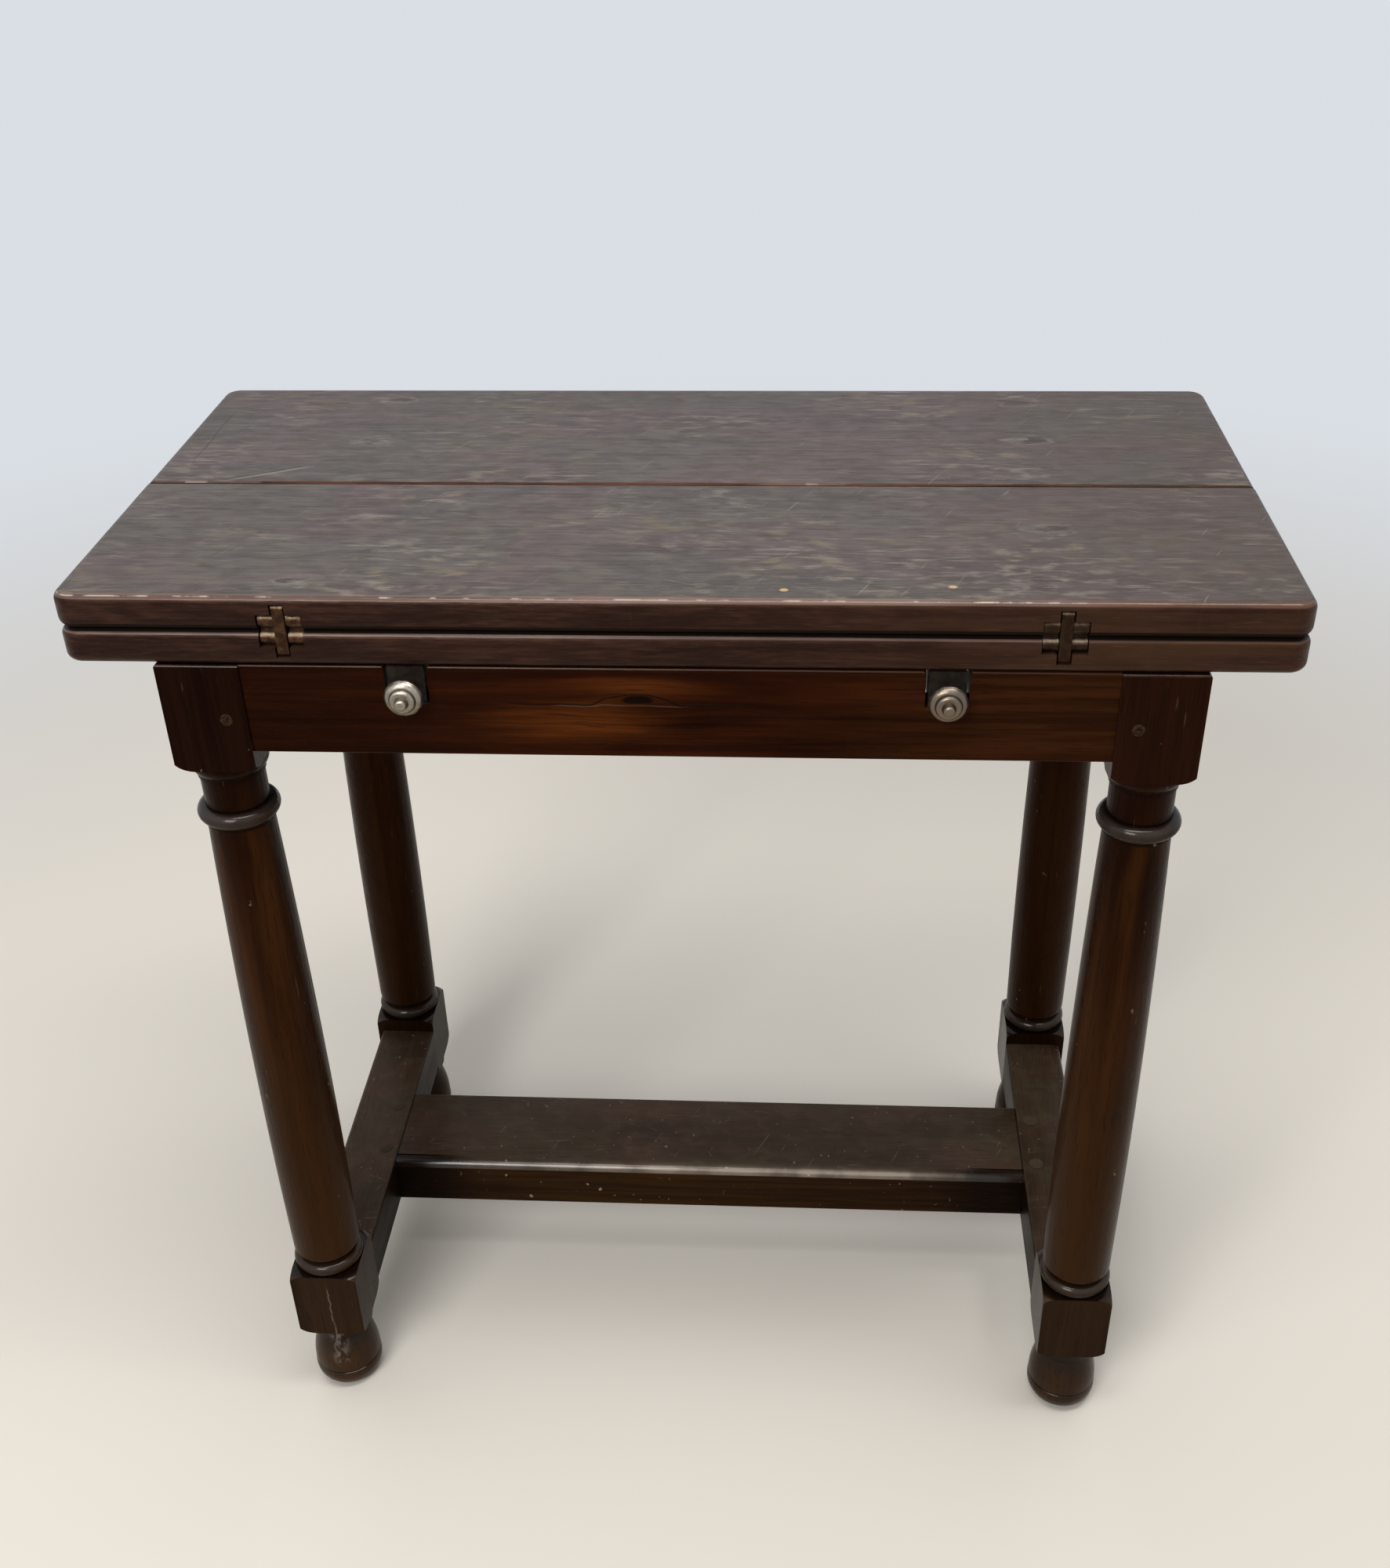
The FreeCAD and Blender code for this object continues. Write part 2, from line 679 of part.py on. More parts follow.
def fixed_top():
    """Fixed leaf, pegged to the frame, with a hinge seat at each corner of its upper face."""
    board = leaf(top_length / 2, top_front, top_rear, frame_height, top_face)
    seats = [placed(cutter, hinge, False) for hinge in hinges.values() for cutter in hinge_seat()]
    peg_holes = [mirrored(top_peg(peg_gap), *sides) for sides in corners.values()]
    return board.cut(seats + peg_holes).Solids[0]


def joint_corner(edge, way, joint, inwards):
    """What rounds a flap's corner in plan at the joint; way is its end, inwards leads to the board."""
    soft = flap_joint_corner_round
    left, right = sorted((edge - way * soft, edge + way * overrun))
    front, back = sorted((joint - inwards * overrun, joint + inwards * soft))
    low = flap_face - overrun
    corner = box(left, right, front, back, low, flap_top + overrun)
    start = Vector(edge - way * soft, joint + inwards * soft, low)
    return corner.cut(rod(start, UP, flap_thickness + 2 * overrun, soft))


def flap(side):
    """Flap that lies on the front or rear half of the fixed top, cut off and eased at the joint."""
    half_gap = flap_joint_gap / 2
    waste = corner_round + overrun
    if side == "front":
        half_length = top_length / 2
        inwards = -1
        joint = flap_joint_y - half_gap
        board_span = (top_front, joint + waste)
        kept_span = (top_front - overrun, joint)
        rounds = (0, flap_joint_round, flap_joint_round, 0)
    else:
        half_length = (top_length - rear_flap_shortening) / 2
        inwards = 1
        joint = flap_joint_y + half_gap
        board_span = (joint - waste, top_rear)
        kept_span = (joint, top_rear + overrun)
        rounds = (flap_joint_round, 0, 0, flap_joint_round)
    ends = (-half_length - overrun, half_length + overrun)
    kept = bar_along_x(*ends, *kept_span, flap_face, flap_top, *rounds)
    board = leaf(half_length, *board_span, flap_face, flap_top).common(kept)
    on_side = [hinge for hinge in hinges.values() if hinge[0] == side]
    seats = [placed(cutter, hinge, True) for hinge in on_side for cutter in hinge_seat()]
    joint_corners = [joint_corner(way * half_length, way, joint, inwards) for way in (-1, 1)]
    return board.cut(seats + joint_corners).Solids[0]


# Lopers are drawn as those of the front; the rear ones are mirrored.
knob_z = loper_bottom + loper_height / 2 - knob_drop


def stop_peg(x, grow):
    """Upright peg that stops a loper at the bearer and at the rail, or with grow its hole."""
    start = Vector(x, stop_y, loper_top - stop_gap)
    return rod(start, -UP, loper_height - stop_gap + stop_drop + grow, stop_radius + grow)


def loper(x):
    """Loper bar, with a hole for the knob's spigot in its end and one for its stop peg."""
    half = loper_width / 2
    soft = loper_edge_round
    span = (x - half, x + half, loper_front, loper_front + loper_length, loper_bottom, loper_top)
    bar = bar_along_y(*span, soft, soft, soft, soft)
    start = Vector(x, loper_front - overrun, knob_z)
    spigot_hole = rod(start, BACK, overrun + knob_spigot_length + knob_gap, knob_spigot_radius + knob_gap)
    return bar.cut([spigot_hole, stop_peg(x, peg_gap)]).Solids[0]


def knob_point(shares):
    """Point on the knob's outline from its shares of radius and reach."""
    return (knob_radius * shares[0], knob_reach * shares[1])


def knob(x):
    """Turned brass knob: spigot, waisted stem, round-edged disc, ring and centre button."""
    foot = knob_radius * knob_foot_share
    outline = [
        (0, -knob_spigot_length),
        ((knob_spigot_radius, -knob_spigot_length),),
        ((knob_spigot_radius, 0),),
        ((foot, 0),),
        (knob_point(knob_stem_shares), knob_point(knob_stem_top_shares)),
        (knob_point(knob_back_shares), knob_point(knob_rim_back_shares)),
        (knob_point(knob_rim_shares), knob_point(knob_rim_front_shares)),
        (knob_point(knob_crown_shares), knob_point(knob_face_shares)),
        (knob_point(knob_ring_shares), knob_point(knob_ring_front_shares)),
        (knob_point(knob_dish_shares),),
        (knob_point(knob_button_shares),),
        (knob_point(knob_button_round_shares), knob_point(knob_button_face_shares)),
        ((0, knob_reach),),
    ]
    solid = turned(outline).rotated(ORIGIN, ACROSS, TURN / 4)
    return solid.translated(Vector(x, loper_front, knob_z))


os.makedirs("parts", exist_ok=True)

front_left_leg = leg()
for corner, sides in corners.items():
    export(corner + "_leg", mirrored(front_left_leg, *sides))
export("front_rail", long_rail((-loper_x, loper_x)))
export("rear_rail", mirrored(long_rail((-rear_loper_x, rear_loper_x)), False, True))
left_side_rail = side_rail()
export("left_side_rail", left_side_rail)
export("right_side_rail", mirrored(left_side_rail, True, False))
export("loper_bearer", bearer())
left_side_stretcher = side_stretcher()
export("left_side_stretcher", left_side_stretcher)
export("right_side_stretcher", mirrored(left_side_stretcher, True, False))
export("medial_stretcher", medial_stretcher())

rail_pegs = []
stretcher_pegs = []
for sides in corners.values():
    front_peg, side_peg, low_peg = [mirrored(peg, *sides) for peg in corner_pegs(0)]
    rail_pegs += [front_peg, side_peg]
    stretcher_pegs.append(low_peg)
for across in (False, True):
    stretcher_pegs += [mirrored(peg, across, False) for peg in medial_pegs(0)]
export("rail_pegs", *rail_pegs)
export("stretcher_pegs", *stretcher_pegs)

export("fixed_top", fixed_top())
export("top_pegs", *[mirrored(top_peg(0), *sides) for sides in corners.values()])
export("front_flap", flap("front"))
export("rear_flap", flap("rear"))

for name, hinge in hinges.items():
    export(name + "_link", placed(hinge_link(), hinge, False))
    export(name + "_fixed_plate", placed(hinge_plate(), hinge, False))
    export(name + "_flap_plate", placed(hinge_plate(), hinge, True))
export("fixed_hinge_pins", *[placed(hinge_pin(pin_radius), hinge, False) for hinge in hinges.values()])
export("fixed_hinge_screws", *[placed(s, hinge, False) for hinge in hinges.values() for s in hinge_screws(0)])
for side in ("front", "rear"):
    on_side = [hinge for hinge in hinges.values() if hinge[0] == side]
    export(side + "_flap_pins", *[placed(hinge_pin(pin_radius), hinge, True) for hinge in on_side])
    export(side + "_flap_screws", *[placed(s, hinge, True) for hinge in on_side for s in hinge_screws(0)])

for corner, (on_right, at_rear) in corners.items():
    x = -rear_loper_x if at_rear else -loper_x
    export(corner + "_loper", mirrored(loper(x), on_right, at_rear))
    export(corner + "_knob", mirrored(knob(x), on_right, at_rear))
    export(corner + "_stop_peg", mirrored(stop_peg(x, 0), on_right, at_rear))

print("loper travel", round(loper_travel, 3))
print("fixed pins: z", top_face - pin_inset, "y", top_front + pin_inset, top_rear - pin_inset)
print("flap pins: z", flap_face + pin_inset)
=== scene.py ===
import math

import bpy
import numpy as np
from mathutils import Matrix, Vector

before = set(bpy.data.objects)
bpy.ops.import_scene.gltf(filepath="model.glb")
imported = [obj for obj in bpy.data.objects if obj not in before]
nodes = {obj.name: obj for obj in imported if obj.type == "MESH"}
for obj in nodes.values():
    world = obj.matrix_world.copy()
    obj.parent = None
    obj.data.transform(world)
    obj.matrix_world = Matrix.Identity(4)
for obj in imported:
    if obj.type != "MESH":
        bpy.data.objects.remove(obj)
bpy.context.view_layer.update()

# Turned legs: four posts of dark stained oak, each turned from one square billet. The square blocks take
# the rails and stretchers; the shaft between them swells and is ringed at both ends. The stain is nearly
# black on the upper blocks, rubbed to red-brown on the shafts and scuffed near the floor. Painted shade
# darkens the rear legs, the grooves by the rings and the feet just under the lower blocks.


class Wire:
    """One socket of a material's node tree; arithmetic on wires adds Math nodes."""

    def __init__(self, tree, socket):
        self.tree = tree
        self.socket = socket

    def node(self, kind, settings=None, sockets=None, out=0):
        """Adds a node: its settings first, then the value or link of each socket; gives one output."""
        new = self.tree.nodes.new("ShaderNode" + kind)
        for name, value in (settings or {}).items():
            setattr(new, name, value)
        for name, value in (sockets or {}).items():
            if isinstance(value, Wire):
                self.tree.links.new(value.socket, new.inputs[name])
            else:
                new.inputs[name].default_value = value
        return Wire(self.tree, new.outputs[out])

    def math(self, operation, *values):
        return self.node("Math", {"operation": operation}, dict(enumerate(values)))

    def __add__(self, other):
        return self.math("ADD", self, other)

    def __radd__(self, other):
        return self.math("ADD", other, self)

    def __sub__(self, other):
        return self.math("SUBTRACT", self, other)

    def __rsub__(self, other):
        return self.math("SUBTRACT", other, self)

    def __mul__(self, other):
        return self.math("MULTIPLY", self, other)

    def __rmul__(self, other):
        return self.math("MULTIPLY", other, self)

    def __abs__(self):
        return self.math("ABSOLUTE", self)

    def at_least(self, other):
        return self.math("MAXIMUM", self, other)

    def root(self):
        return self.math("SQRT", self)


def axes(place):
    """The three coordinates of a place or a direction, each as a wire."""
    split = place.node("SeparateXYZ", sockets={0: place}).socket.node
    return [Wire(place.tree, split.outputs[i]) for i in range(3)]


def step(value, low, high):
    """0 below low, 1 above high and an S curve between; low may be the larger."""
    sockets = {"Value": value, "From Min": low, "From Max": high}
    return value.node("MapRange", {"interpolation_type": "SMOOTHSTEP"}, sockets)


def near(value, centre, reach):
    """1 where value is centre, falling to 0 at reach on either side."""
    return step(abs(value - centre), reach, 0.0)


def noise(place, scales, seed, detail=3.0, bend=0.0):
    """Fractal noise about 0.5, drawn out along the axes that have small scales."""
    shift = (seed * 1.37, seed * 2.11, seed * 0.73)
    stretched = place.node("VectorMath", {"operation": "MULTIPLY_ADD"}, {0: place, 1: scales, 2: shift})
    sockets = {"Vector": stretched, "Scale": 1.0, "Detail": detail, "Distortion": bend}
    return place.node("TexNoise", sockets=sockets)


def tint(factor, first, second):
    """Colour that goes from first to second as factor goes from 0 to 1."""
    colours = {6: first, 7: second}
    for index, colour in colours.items():
        if not isinstance(colour, Wire):
            colours[index] = (*colour, 1.0)
    return factor.node("Mix", {"data_type": "RGBA"}, {0: factor, **colours}, out=2)


def bump(height, depth, strength=1.0):
    """Normal of a relief: height from 0 to 1, depth in metres."""
    return height.node("Bump", sockets={"Height": height, "Distance": depth, "Strength": strength})


def finish(name, members, surface, **constants):
    """Material with one shader: surface(place, facing) gives what varies, constants what doesn't."""
    material = bpy.data.materials.new(name)
    material.use_nodes = True
    tree = material.node_tree
    shader = tree.nodes["Principled BSDF"]
    coordinates = tree.nodes.new("ShaderNodeTexCoord")
    place = Wire(tree, coordinates.outputs["Object"])
    facing = Wire(tree, coordinates.outputs["Normal"])
    for socket, wire in surface(place, facing).items():
        tree.links.new(wire.socket, shader.inputs[socket])
    for socket, value in constants.items():
        shader.inputs[socket.replace("_", " ").title().replace("Ior", "IOR")].default_value = value
    for member in members:
        nodes[member].material_slots[0].material = material


def grain(along, across_scale, along_scale):
    """Noise scales for grain that runs along X, Y or Z."""
    return tuple(along_scale if axis == along else across_scale for axis in "XYZ")


def oak(place, along, seed):
    """Figure of oak, each from 0 to 1: streaks along the grain, open pores, and slow clouds of stain."""
    streaks = step(noise(place, grain(along, 210.0, 7.0), seed, 5.0, 0.4), 0.34, 0.66)
    pores = step(noise(place, grain(along, 1200.0, 42.0), seed + 7.0, 2.0), 0.56, 0.70)
    clouds = step(noise(place, grain(along, 16.0, 5.0), seed + 3.0, 2.0), 0.36, 0.64)
    return streaks, pores, clouds


FLAT_FACING, ROUND_FACING = 0.985, 0.80


def edges(facing):
    """1 where a surface turns from one face to the next, 0 on the flats."""
    x, y, z = axes(facing)
    flat = abs(x).at_least(abs(y)).at_least(abs(z))
    return step(flat, FLAT_FACING, ROUND_FACING)


def within(value, low, high, soft):
    """1 between low and high, falling to 0 over the soft width outside them."""
    return step(value, low - soft, low) * step(value, high + soft, high)


SIDE_BLEND, DEPTH_BLEND = 0.10, 0.01


def rightward(place):
    """0 on the left half of the table and 1 on the right, with a soft change at the middle."""
    x, _, _ = axes(place)
    return step(x, -SIDE_BLEND, SIDE_BLEND)


def rearward(place):
    """0 on the front half of the table and 1 on the rear half."""
    _, y, _ = axes(place)
    return step(y, -DEPTH_BLEND, DEPTH_BLEND)


CORNERS = ("front_left", "front_right", "rear_left", "rear_right")
BUN_START = (0.0720, 0.0660)
BUN_POLISH = (0.0720, 0.0680)
SHADED_FOOT_NECK = (0.0360, 0.0580)
LOWER_BLOCK = (0.0720, 0.1410, 0.0010)
FOOT_START = (0.1610, 0.1310)
SHAFT_RUB = (0.50, 0.18)
DRIP_START = (0.44, 0.57)
SHAFT_START = (0.6415, 0.6075)
UPPER_BLOCK_START = (0.6395, 0.6435)
RINGS = (
    ((0.1415, 0.1515, 0.0010), 0.6),
    ((0.5885, 0.5995, 0.0010), 1.0),
)
SHADED_GROOVES = (
    (0.0210, 0.0018),
    (0.1545, 0.0036),
    (0.1412, 0.0016),
    (0.5868, 0.0024),
    (0.6008, 0.0018),
    (0.6258, 0.0028),
)
NECK = (0.6005, 0.6262, 0.0030)
BLOCK_BLACK = (0.0040, 0.0008, 0.0005)
BLOCK_BROWN = (0.0190, 0.0062, 0.0032)
SHAFT_DARK = (0.0120, 0.0034, 0.0010)
SHAFT_RED = (0.0440, 0.0150, 0.0036)
SHAFT_BROWN = (0.0320, 0.0142, 0.0036)
RING_GREY = (0.0380, 0.0300, 0.0250)
FOOT_DARK = (0.0080, 0.0035, 0.0015)
FOOT_BROWN = (0.0270, 0.0122, 0.0040)
BUN_BROWN = (0.0440, 0.0195, 0.0062)
# Near-black for the shake, the knot and the stretcher ends, and also the painted shade in grooves,
# crevices and gaps.
GRIME_AND_SHADE = (0.0028, 0.0013, 0.0008)
BARE_OAK = (0.2100, 0.1500, 0.0950)
DUST_GREY = (0.2600, 0.2250, 0.1850)
REAR_PAINTED_SHADE = 0.48
FRONT_FACES = (-0.150, -0.170)
SPLIT_X = -0.3110
SPLIT_WANDER = 0.0050
SPLIT_HALF, DUST_HALF = 0.0010, 0.0100
SPLIT_RUN = (0.0760, 0.1220, 0.0120)
DUST_RUN = (0.0360, 0.0660, 0.0080)
LEG_RELIEF = 0.0005


def leg_surface(place, facing):
    """Upright grain: black upper blocks, red-brown shafts, dusty rings, scuffed lower blocks and feet;
    painted shade and arris highlights.
    """
    x, y, z = axes(place)
    _, _, up = axes(facing)
    streaks, pores, clouds = oak(place, "Z", 2.0)
    bands = step(noise(place, (75.0, 75.0, 2.5), 4.0, 3.0, 0.3), 0.40, 0.62)
    shaft = tint(streaks * 0.20 + bands * 0.40 + clouds * 0.40, SHAFT_DARK, SHAFT_RED)
    shaft = tint(step(z, *SHAFT_RUB) * 0.65, shaft, SHAFT_BROWN)
    drips = step(noise(place, (70.0, 70.0, 5.0), 6.0, 2.0), 0.42, 0.58) * step(z, *DRIP_START)
    shaft = tint(drips * 0.75, shaft, BLOCK_BLACK)
    black = tint(streaks * 0.35 + clouds * 0.25 + rightward(place) * 0.40, BLOCK_BLACK, BLOCK_BROWN)
    wood = tint(step(z, *SHAFT_START), black, shaft)
    foot = tint(streaks * 0.5 + clouds * 0.5 + rightward(place) * 0.25, FOOT_DARK, FOOT_BROWN)
    bun = tint(streaks * 0.3 + clouds * 0.4 + 0.3, FOOT_DARK, BUN_BROWN)
    # Painted shade: the upper part of each foot, just under the lower block, is darkened.
    bun = tint(step(z, *SHADED_FOOT_NECK) * 0.75, bun, GRIME_AND_SHADE)
    foot = tint(step(z, *BUN_START), foot, bun)
    wood = tint(step(z, *FOOT_START), wood, foot)
    wood = tint(within(z, *NECK) * 0.6, wood, BLOCK_BLACK)
    # Painted shade: the rear legs are darkened towards black, as if the top shaded them.
    wood = tint(rearward(place) * REAR_PAINTED_SHADE, wood, BLOCK_BLACK)
    wood = tint(pores * 0.55, wood, BLOCK_BLACK)
    dusty = step(noise(place, (38.0, 38.0, 38.0), 8.0, 3.0), 0.30, 0.62)
    for band, grey in RINGS:
        wood = tint(within(z, *band) * (dusty * 0.5 + 0.4) * grey, wood, RING_GREY)
    # Painted shade: the grooves by the rings, the ovolo and the scribed foot line are darkened to
    # near-black.
    for height, reach in SHADED_GROOVES:
        wood = tint(near(z, height, reach) * 0.9, wood, GRIME_AND_SHADE)
    square = step(z, *UPPER_BLOCK_START) + within(z, *LOWER_BLOCK)
    # The pale block arrises are partly wear and partly a painted highlight.
    rubbed_with_highlight = edges(facing) * square * step(noise(place, (60.0, 60.0, 30.0), 5.0, 4.0), 0.38, 0.70)
    nicks = step(noise(place, (150.0, 150.0, 95.0), 11.0, 2.0), 0.740, 0.775)
    scrapes = step(noise(place, (420.0, 420.0, 30.0), 13.0, 2.0), 0.71, 0.79)
    front = step(y, *FRONT_FACES)
    split_line = x - SPLIT_X + (noise(place, (0.0, 0.0, 80.0), 17.0) - 0.5) * SPLIT_WANDER
    crumbs = step(noise(place, (160.0, 160.0, 110.0), 19.0, 5.0, 0.6), 0.42, 0.60)
    split = near(split_line, 0.0, SPLIT_HALF) * front * within(z, *SPLIT_RUN) * (crumbs * 0.75 + 0.25)
    dust_patch = near(split_line, 0.0, DUST_HALF) * front * within(z, *DUST_RUN) * crumbs
    pale = rubbed_with_highlight * 0.20 + nicks * 0.5 + scrapes * 0.15
    dust = split * 0.45 + dust_patch * 0.50
    wood = tint(dust, tint(pale, wood, BARE_OAK), DUST_GREY)
    rough = 0.24 + clouds * 0.10 + (pale + dust) * 0.3
    polished = step(z, *BUN_POLISH) * 0.16
    sheen = (step(up, 0.10, 0.70) * 0.45 + polished) * (1.0 - pale)
    relief = streaks * 0.3 - pores * 0.4 - nicks - split
    normal = bump(relief, LEG_RELIEF, 0.5)
    return {"Base Color": wood, "Roughness": rough, "Coat Weight": sheen, "Normal": normal}


STAINED = {"specular_ior_level": 0.06, "specular_tint": (1.0, 0.42, 0.20, 1.0), "coat_roughness": 0.16}
finish("leg_oak", [c + "_leg" for c in CORNERS], leg_surface, **STAINED)

# Rails: four oak boards tenoned into the upper blocks and pegged there. The front and rear ones are
# notched from above for the lopers. Stained a deep red-brown, the grain along each board; the front
# one has a long shake that opens at a knot, with flame-coloured wood below it.

RAIL_BLACK = (0.0050, 0.0009, 0.0004)
RAIL_BROWN = (0.0190, 0.0038, 0.0012)
RAIL_RED = (0.0400, 0.0090, 0.0022)
RAIL_FLAME = (0.1250, 0.0330, 0.0055)
RAIL_TAN = (0.0400, 0.0145, 0.0048)
RAIL_PALE = (0.1300, 0.0850, 0.0580)
RAIL_FOOT, RAIL_HEAD = 0.6530, 0.7190
FOOT_HALF, HEAD_HALF, GLEAM_HALF = 0.0020, 0.0030, 0.0020
NOTCH_FLOOR = 0.6922
FRONT_LOPER_X, REAR_LOPER_X = 0.1756, 0.1396
KNOT_PLACE = (-0.0240, -0.1938, 0.6960)
KNOT_REACH = (0.0115, 0.0100, 0.0034)
SWIRL_REACH = (0.0750, 0.0300, 0.0220)
FLAMES = (
    ((-0.0640, -0.1938, 0.6790), (0.0800, 0.0300, 0.0220), 1.0),
    ((-0.0220, -0.1938, 0.7060), (0.0600, 0.0300, 0.0130), 0.6),
)
SHAKE_HEIGHT = 0.6926
SHAKE_ENDS = (-0.0980, 0.0330, 0.0200)
SHAKE_ARCH = (-0.0250, 0.0290, 0.0072)
SHAKE_WANDER, SHAKE_HALF = 0.0045, 0.0013
UNDER_SHAKE = (0.0008, -0.0002)
LEDGE_DROP, LEDGE_HALF = -0.0009, 0.0008
LEDGE_RUN = (-0.0700, -0.0020, 0.0150)
FRONT_FACE = (-0.185, -0.190)
OUTER_FACES = (0.186, 0.191)
TAN_FADE = (0.04, 0.24)
BLACK_FADE = (-0.11, -0.26)
NOTCH_HALF, MOUTH_HALF = 0.0170, 0.0014
RAIL_RELIEF = 0.0004


def distance(place, centre, reach):
    """How far a place is from a centre, as a multiple of the reach along each axis."""
    apart = place.node("VectorMath", {"operation": "SUBTRACT"}, {0: place, 1: centre})
    shares = tuple(1.0 / length for length in reach)
    scaled = place.node("VectorMath", {"operation": "MULTIPLY"}, {0: apart, 1: shares})
    return place.node("VectorMath", {"operation": "LENGTH"}, {0: scaled}, out=1)


def beside_loper(place):
    """How far a place is along X from the middle of the nearest loper of its own half of the table."""
    x, _, _ = axes(place)
    return abs(x) - (rearward(place) * (REAR_LOPER_X - FRONT_LOPER_X) + FRONT_LOPER_X)


def rail_surface(along, seed):
    """Finish of a rail whose grain runs along X or Y; the knot lies on the front rail only."""

    def surface(place, facing):
        x, y, z = axes(place)
        swirl = step(distance(place, KNOT_PLACE, SWIRL_REACH), 1.0, 0.0)
        lifted = place.node("CombineXYZ", sockets={0: x, 1: y, 2: z + swirl * (KNOT_PLACE[2] - z) * 0.7})
        streaks, pores, clouds = oak(lifted, along, seed)
        flame = step(noise(lifted, grain(along, 75.0, 9.0), seed + 9.0, 4.0, 0.3), 0.34, 0.70)
        wood = tint(streaks * 0.55 + clouds * 0.35, RAIL_BLACK, RAIL_BROWN)
        wood = tint(flame * (streaks * 0.6 + 0.4) * 0.75, wood, RAIL_RED)
        wood = tint(step(x, *TAN_FADE) * (streaks * 0.4 + 0.2), wood, RAIL_TAN)
        wood = tint(step(x, *BLACK_FADE) * 0.45, wood, RAIL_BLACK)
        for centre, reach, strength in FLAMES:
            glow = step(distance(place, centre, reach), 1.15, 0.0) * strength
            wood = tint(glow * (flame * 0.50 + streaks * 0.45), wood, RAIL_FLAME)
        wood = tint(pores * 0.5, wood, RAIL_BLACK)
        drift = (noise(place, grain(along, 0.0, 45.0), seed + 11.0) - 0.5) * SHAKE_WANDER
        rise = z - SHAKE_HEIGHT - drift
        arch_x, arch_reach, arch_rise = SHAKE_ARCH
        share = (x - arch_x) * (1.0 / arch_reach)
        arch = (1.0 - share * share).at_least(0.0) * arch_rise
        on_front = step(y, *FRONT_FACE) * within(x, *SHAKE_ENDS)
        shake = near(rise - arch, 0.0, SHAKE_HALF) * on_front
        knot = step(distance(place, KNOT_PLACE, KNOT_REACH) + (streaks - 0.5) * 0.5, 1.15, 0.75)
        knot = knot * step(rise - arch, *UNDER_SHAKE)
        dark = (shake * 0.9).at_least(knot)
        # Painted highlight: a thin pale line along the lip just under the shake.
        ledge_highlight = near(rise, LEDGE_DROP, LEDGE_HALF) * within(x, *LEDGE_RUN) * on_front
        wood = tint(ledge_highlight * (flame * 0.4 + 0.2), wood, RAIL_PALE)
        wood = tint(dark, wood, GRIME_AND_SHADE)
        rounded = edges(facing)
        # The pale arrises are partly wear and partly a painted highlight.
        arris_wear_and_highlight = rounded * (near(z, RAIL_HEAD, HEAD_HALF) + near(z, RAIL_FOOT, FOOT_HALF) * 0.5)
        mouth = near(z, NOTCH_FLOOR, MOUTH_HALF) * near(beside_loper(place), 0.0, NOTCH_HALF)
        mouth = mouth * step(abs(y), *OUTER_FACES)
        wood = tint(arris_wear_and_highlight * (clouds * 0.30 + 0.15) + mouth * 0.6, wood, RAIL_PALE)
        rough = 0.28 + clouds * 0.12
        relief = streaks * 0.5 - pores * 0.5 - dark * 2.0
        sheen = near(z, RAIL_HEAD, GLEAM_HALF) * rounded * 0.35
        normal = bump(relief, RAIL_RELIEF, 0.6)
        return {"Base Color": wood, "Roughness": rough, "Coat Weight": sheen, "Normal": normal}

    return surface


finish("long_rail_oak", ["front_rail", "rear_rail"], rail_surface("X", 21.0), **STAINED)
finish("side_rail_oak", ["left_side_rail", "right_side_rail"], rail_surface("Y", 25.0), **STAINED)
finish("bearer_oak", ["loper_bearer"], rail_surface("X", 29.0), **STAINED)

# Stretchers: an H of three stout oak bars tenoned between the lower blocks and pegged from above. Feet
# have rubbed the stain grey-brown on top and polished the nosing of the middle bar, whose pale band is
# partly a painted highlight; its ends, out of reach of feet, have stayed black.

STRETCHER_DARK = (0.0110, 0.0046, 0.0016)
STRETCHER_BROWN = (0.0340, 0.0148, 0.0036)
STRETCHER_GREY = (0.0640, 0.0480, 0.0310)
STRETCHER_ROSE = (0.0820, 0.0490, 0.0350)
STRETCHER_PALE = (0.4200, 0.3400, 0.2650)
NOSING_FRONT = -0.0435
NOSING_REACH = 0.0110
NOSING_MIDDLE = 0.06
WEAR_AND_HIGHLIGHT_FADE = (0.25, 0.07)
END_FADE = (0.200, 0.250)
FRONT_STRIP = (-0.0330, -0.0360)
CRUMB_FADE = (0.0, -0.040)
SHOULDER_X = 0.2855
SHADED_SIDE = (0.26, 0.29)
QUIRK_Y = -0.0341
QUIRK_ENDS = (0.2275, 0.2555)
QUIRK_HALF, SHOULDER_HALF = 0.0012, 0.0016
STRETCHER_RELIEF = 0.0004
SCRATCH_ANGLES = (8.0, -21.0, 64.0)
SCRATCH_SCALES = (22.0, 620.0, 0.0)


def turned(x, y, degrees):
    """Coordinates of a place along and across a line that leans from X by an angle."""
    cosine = math.cos(math.radians(degrees))
    sine = math.sin(math.radians(degrees))
    return x * cosine + y * sine, y * cosine - x * sine


def scratched(place, seed):
    """Thin straight scratches in a few directions, each from 0 to 1."""
    x, y, _ = axes(place)
    lines = 0.0
    for angle in SCRATCH_ANGLES:
        along, across = turned(x, y, angle)
        leaning = place.node("CombineXYZ", sockets={0: along, 1: across})
        lines = step(noise(leaning, SCRATCH_SCALES, seed + angle, 2.0), 0.715, 0.765) + lines
    return lines


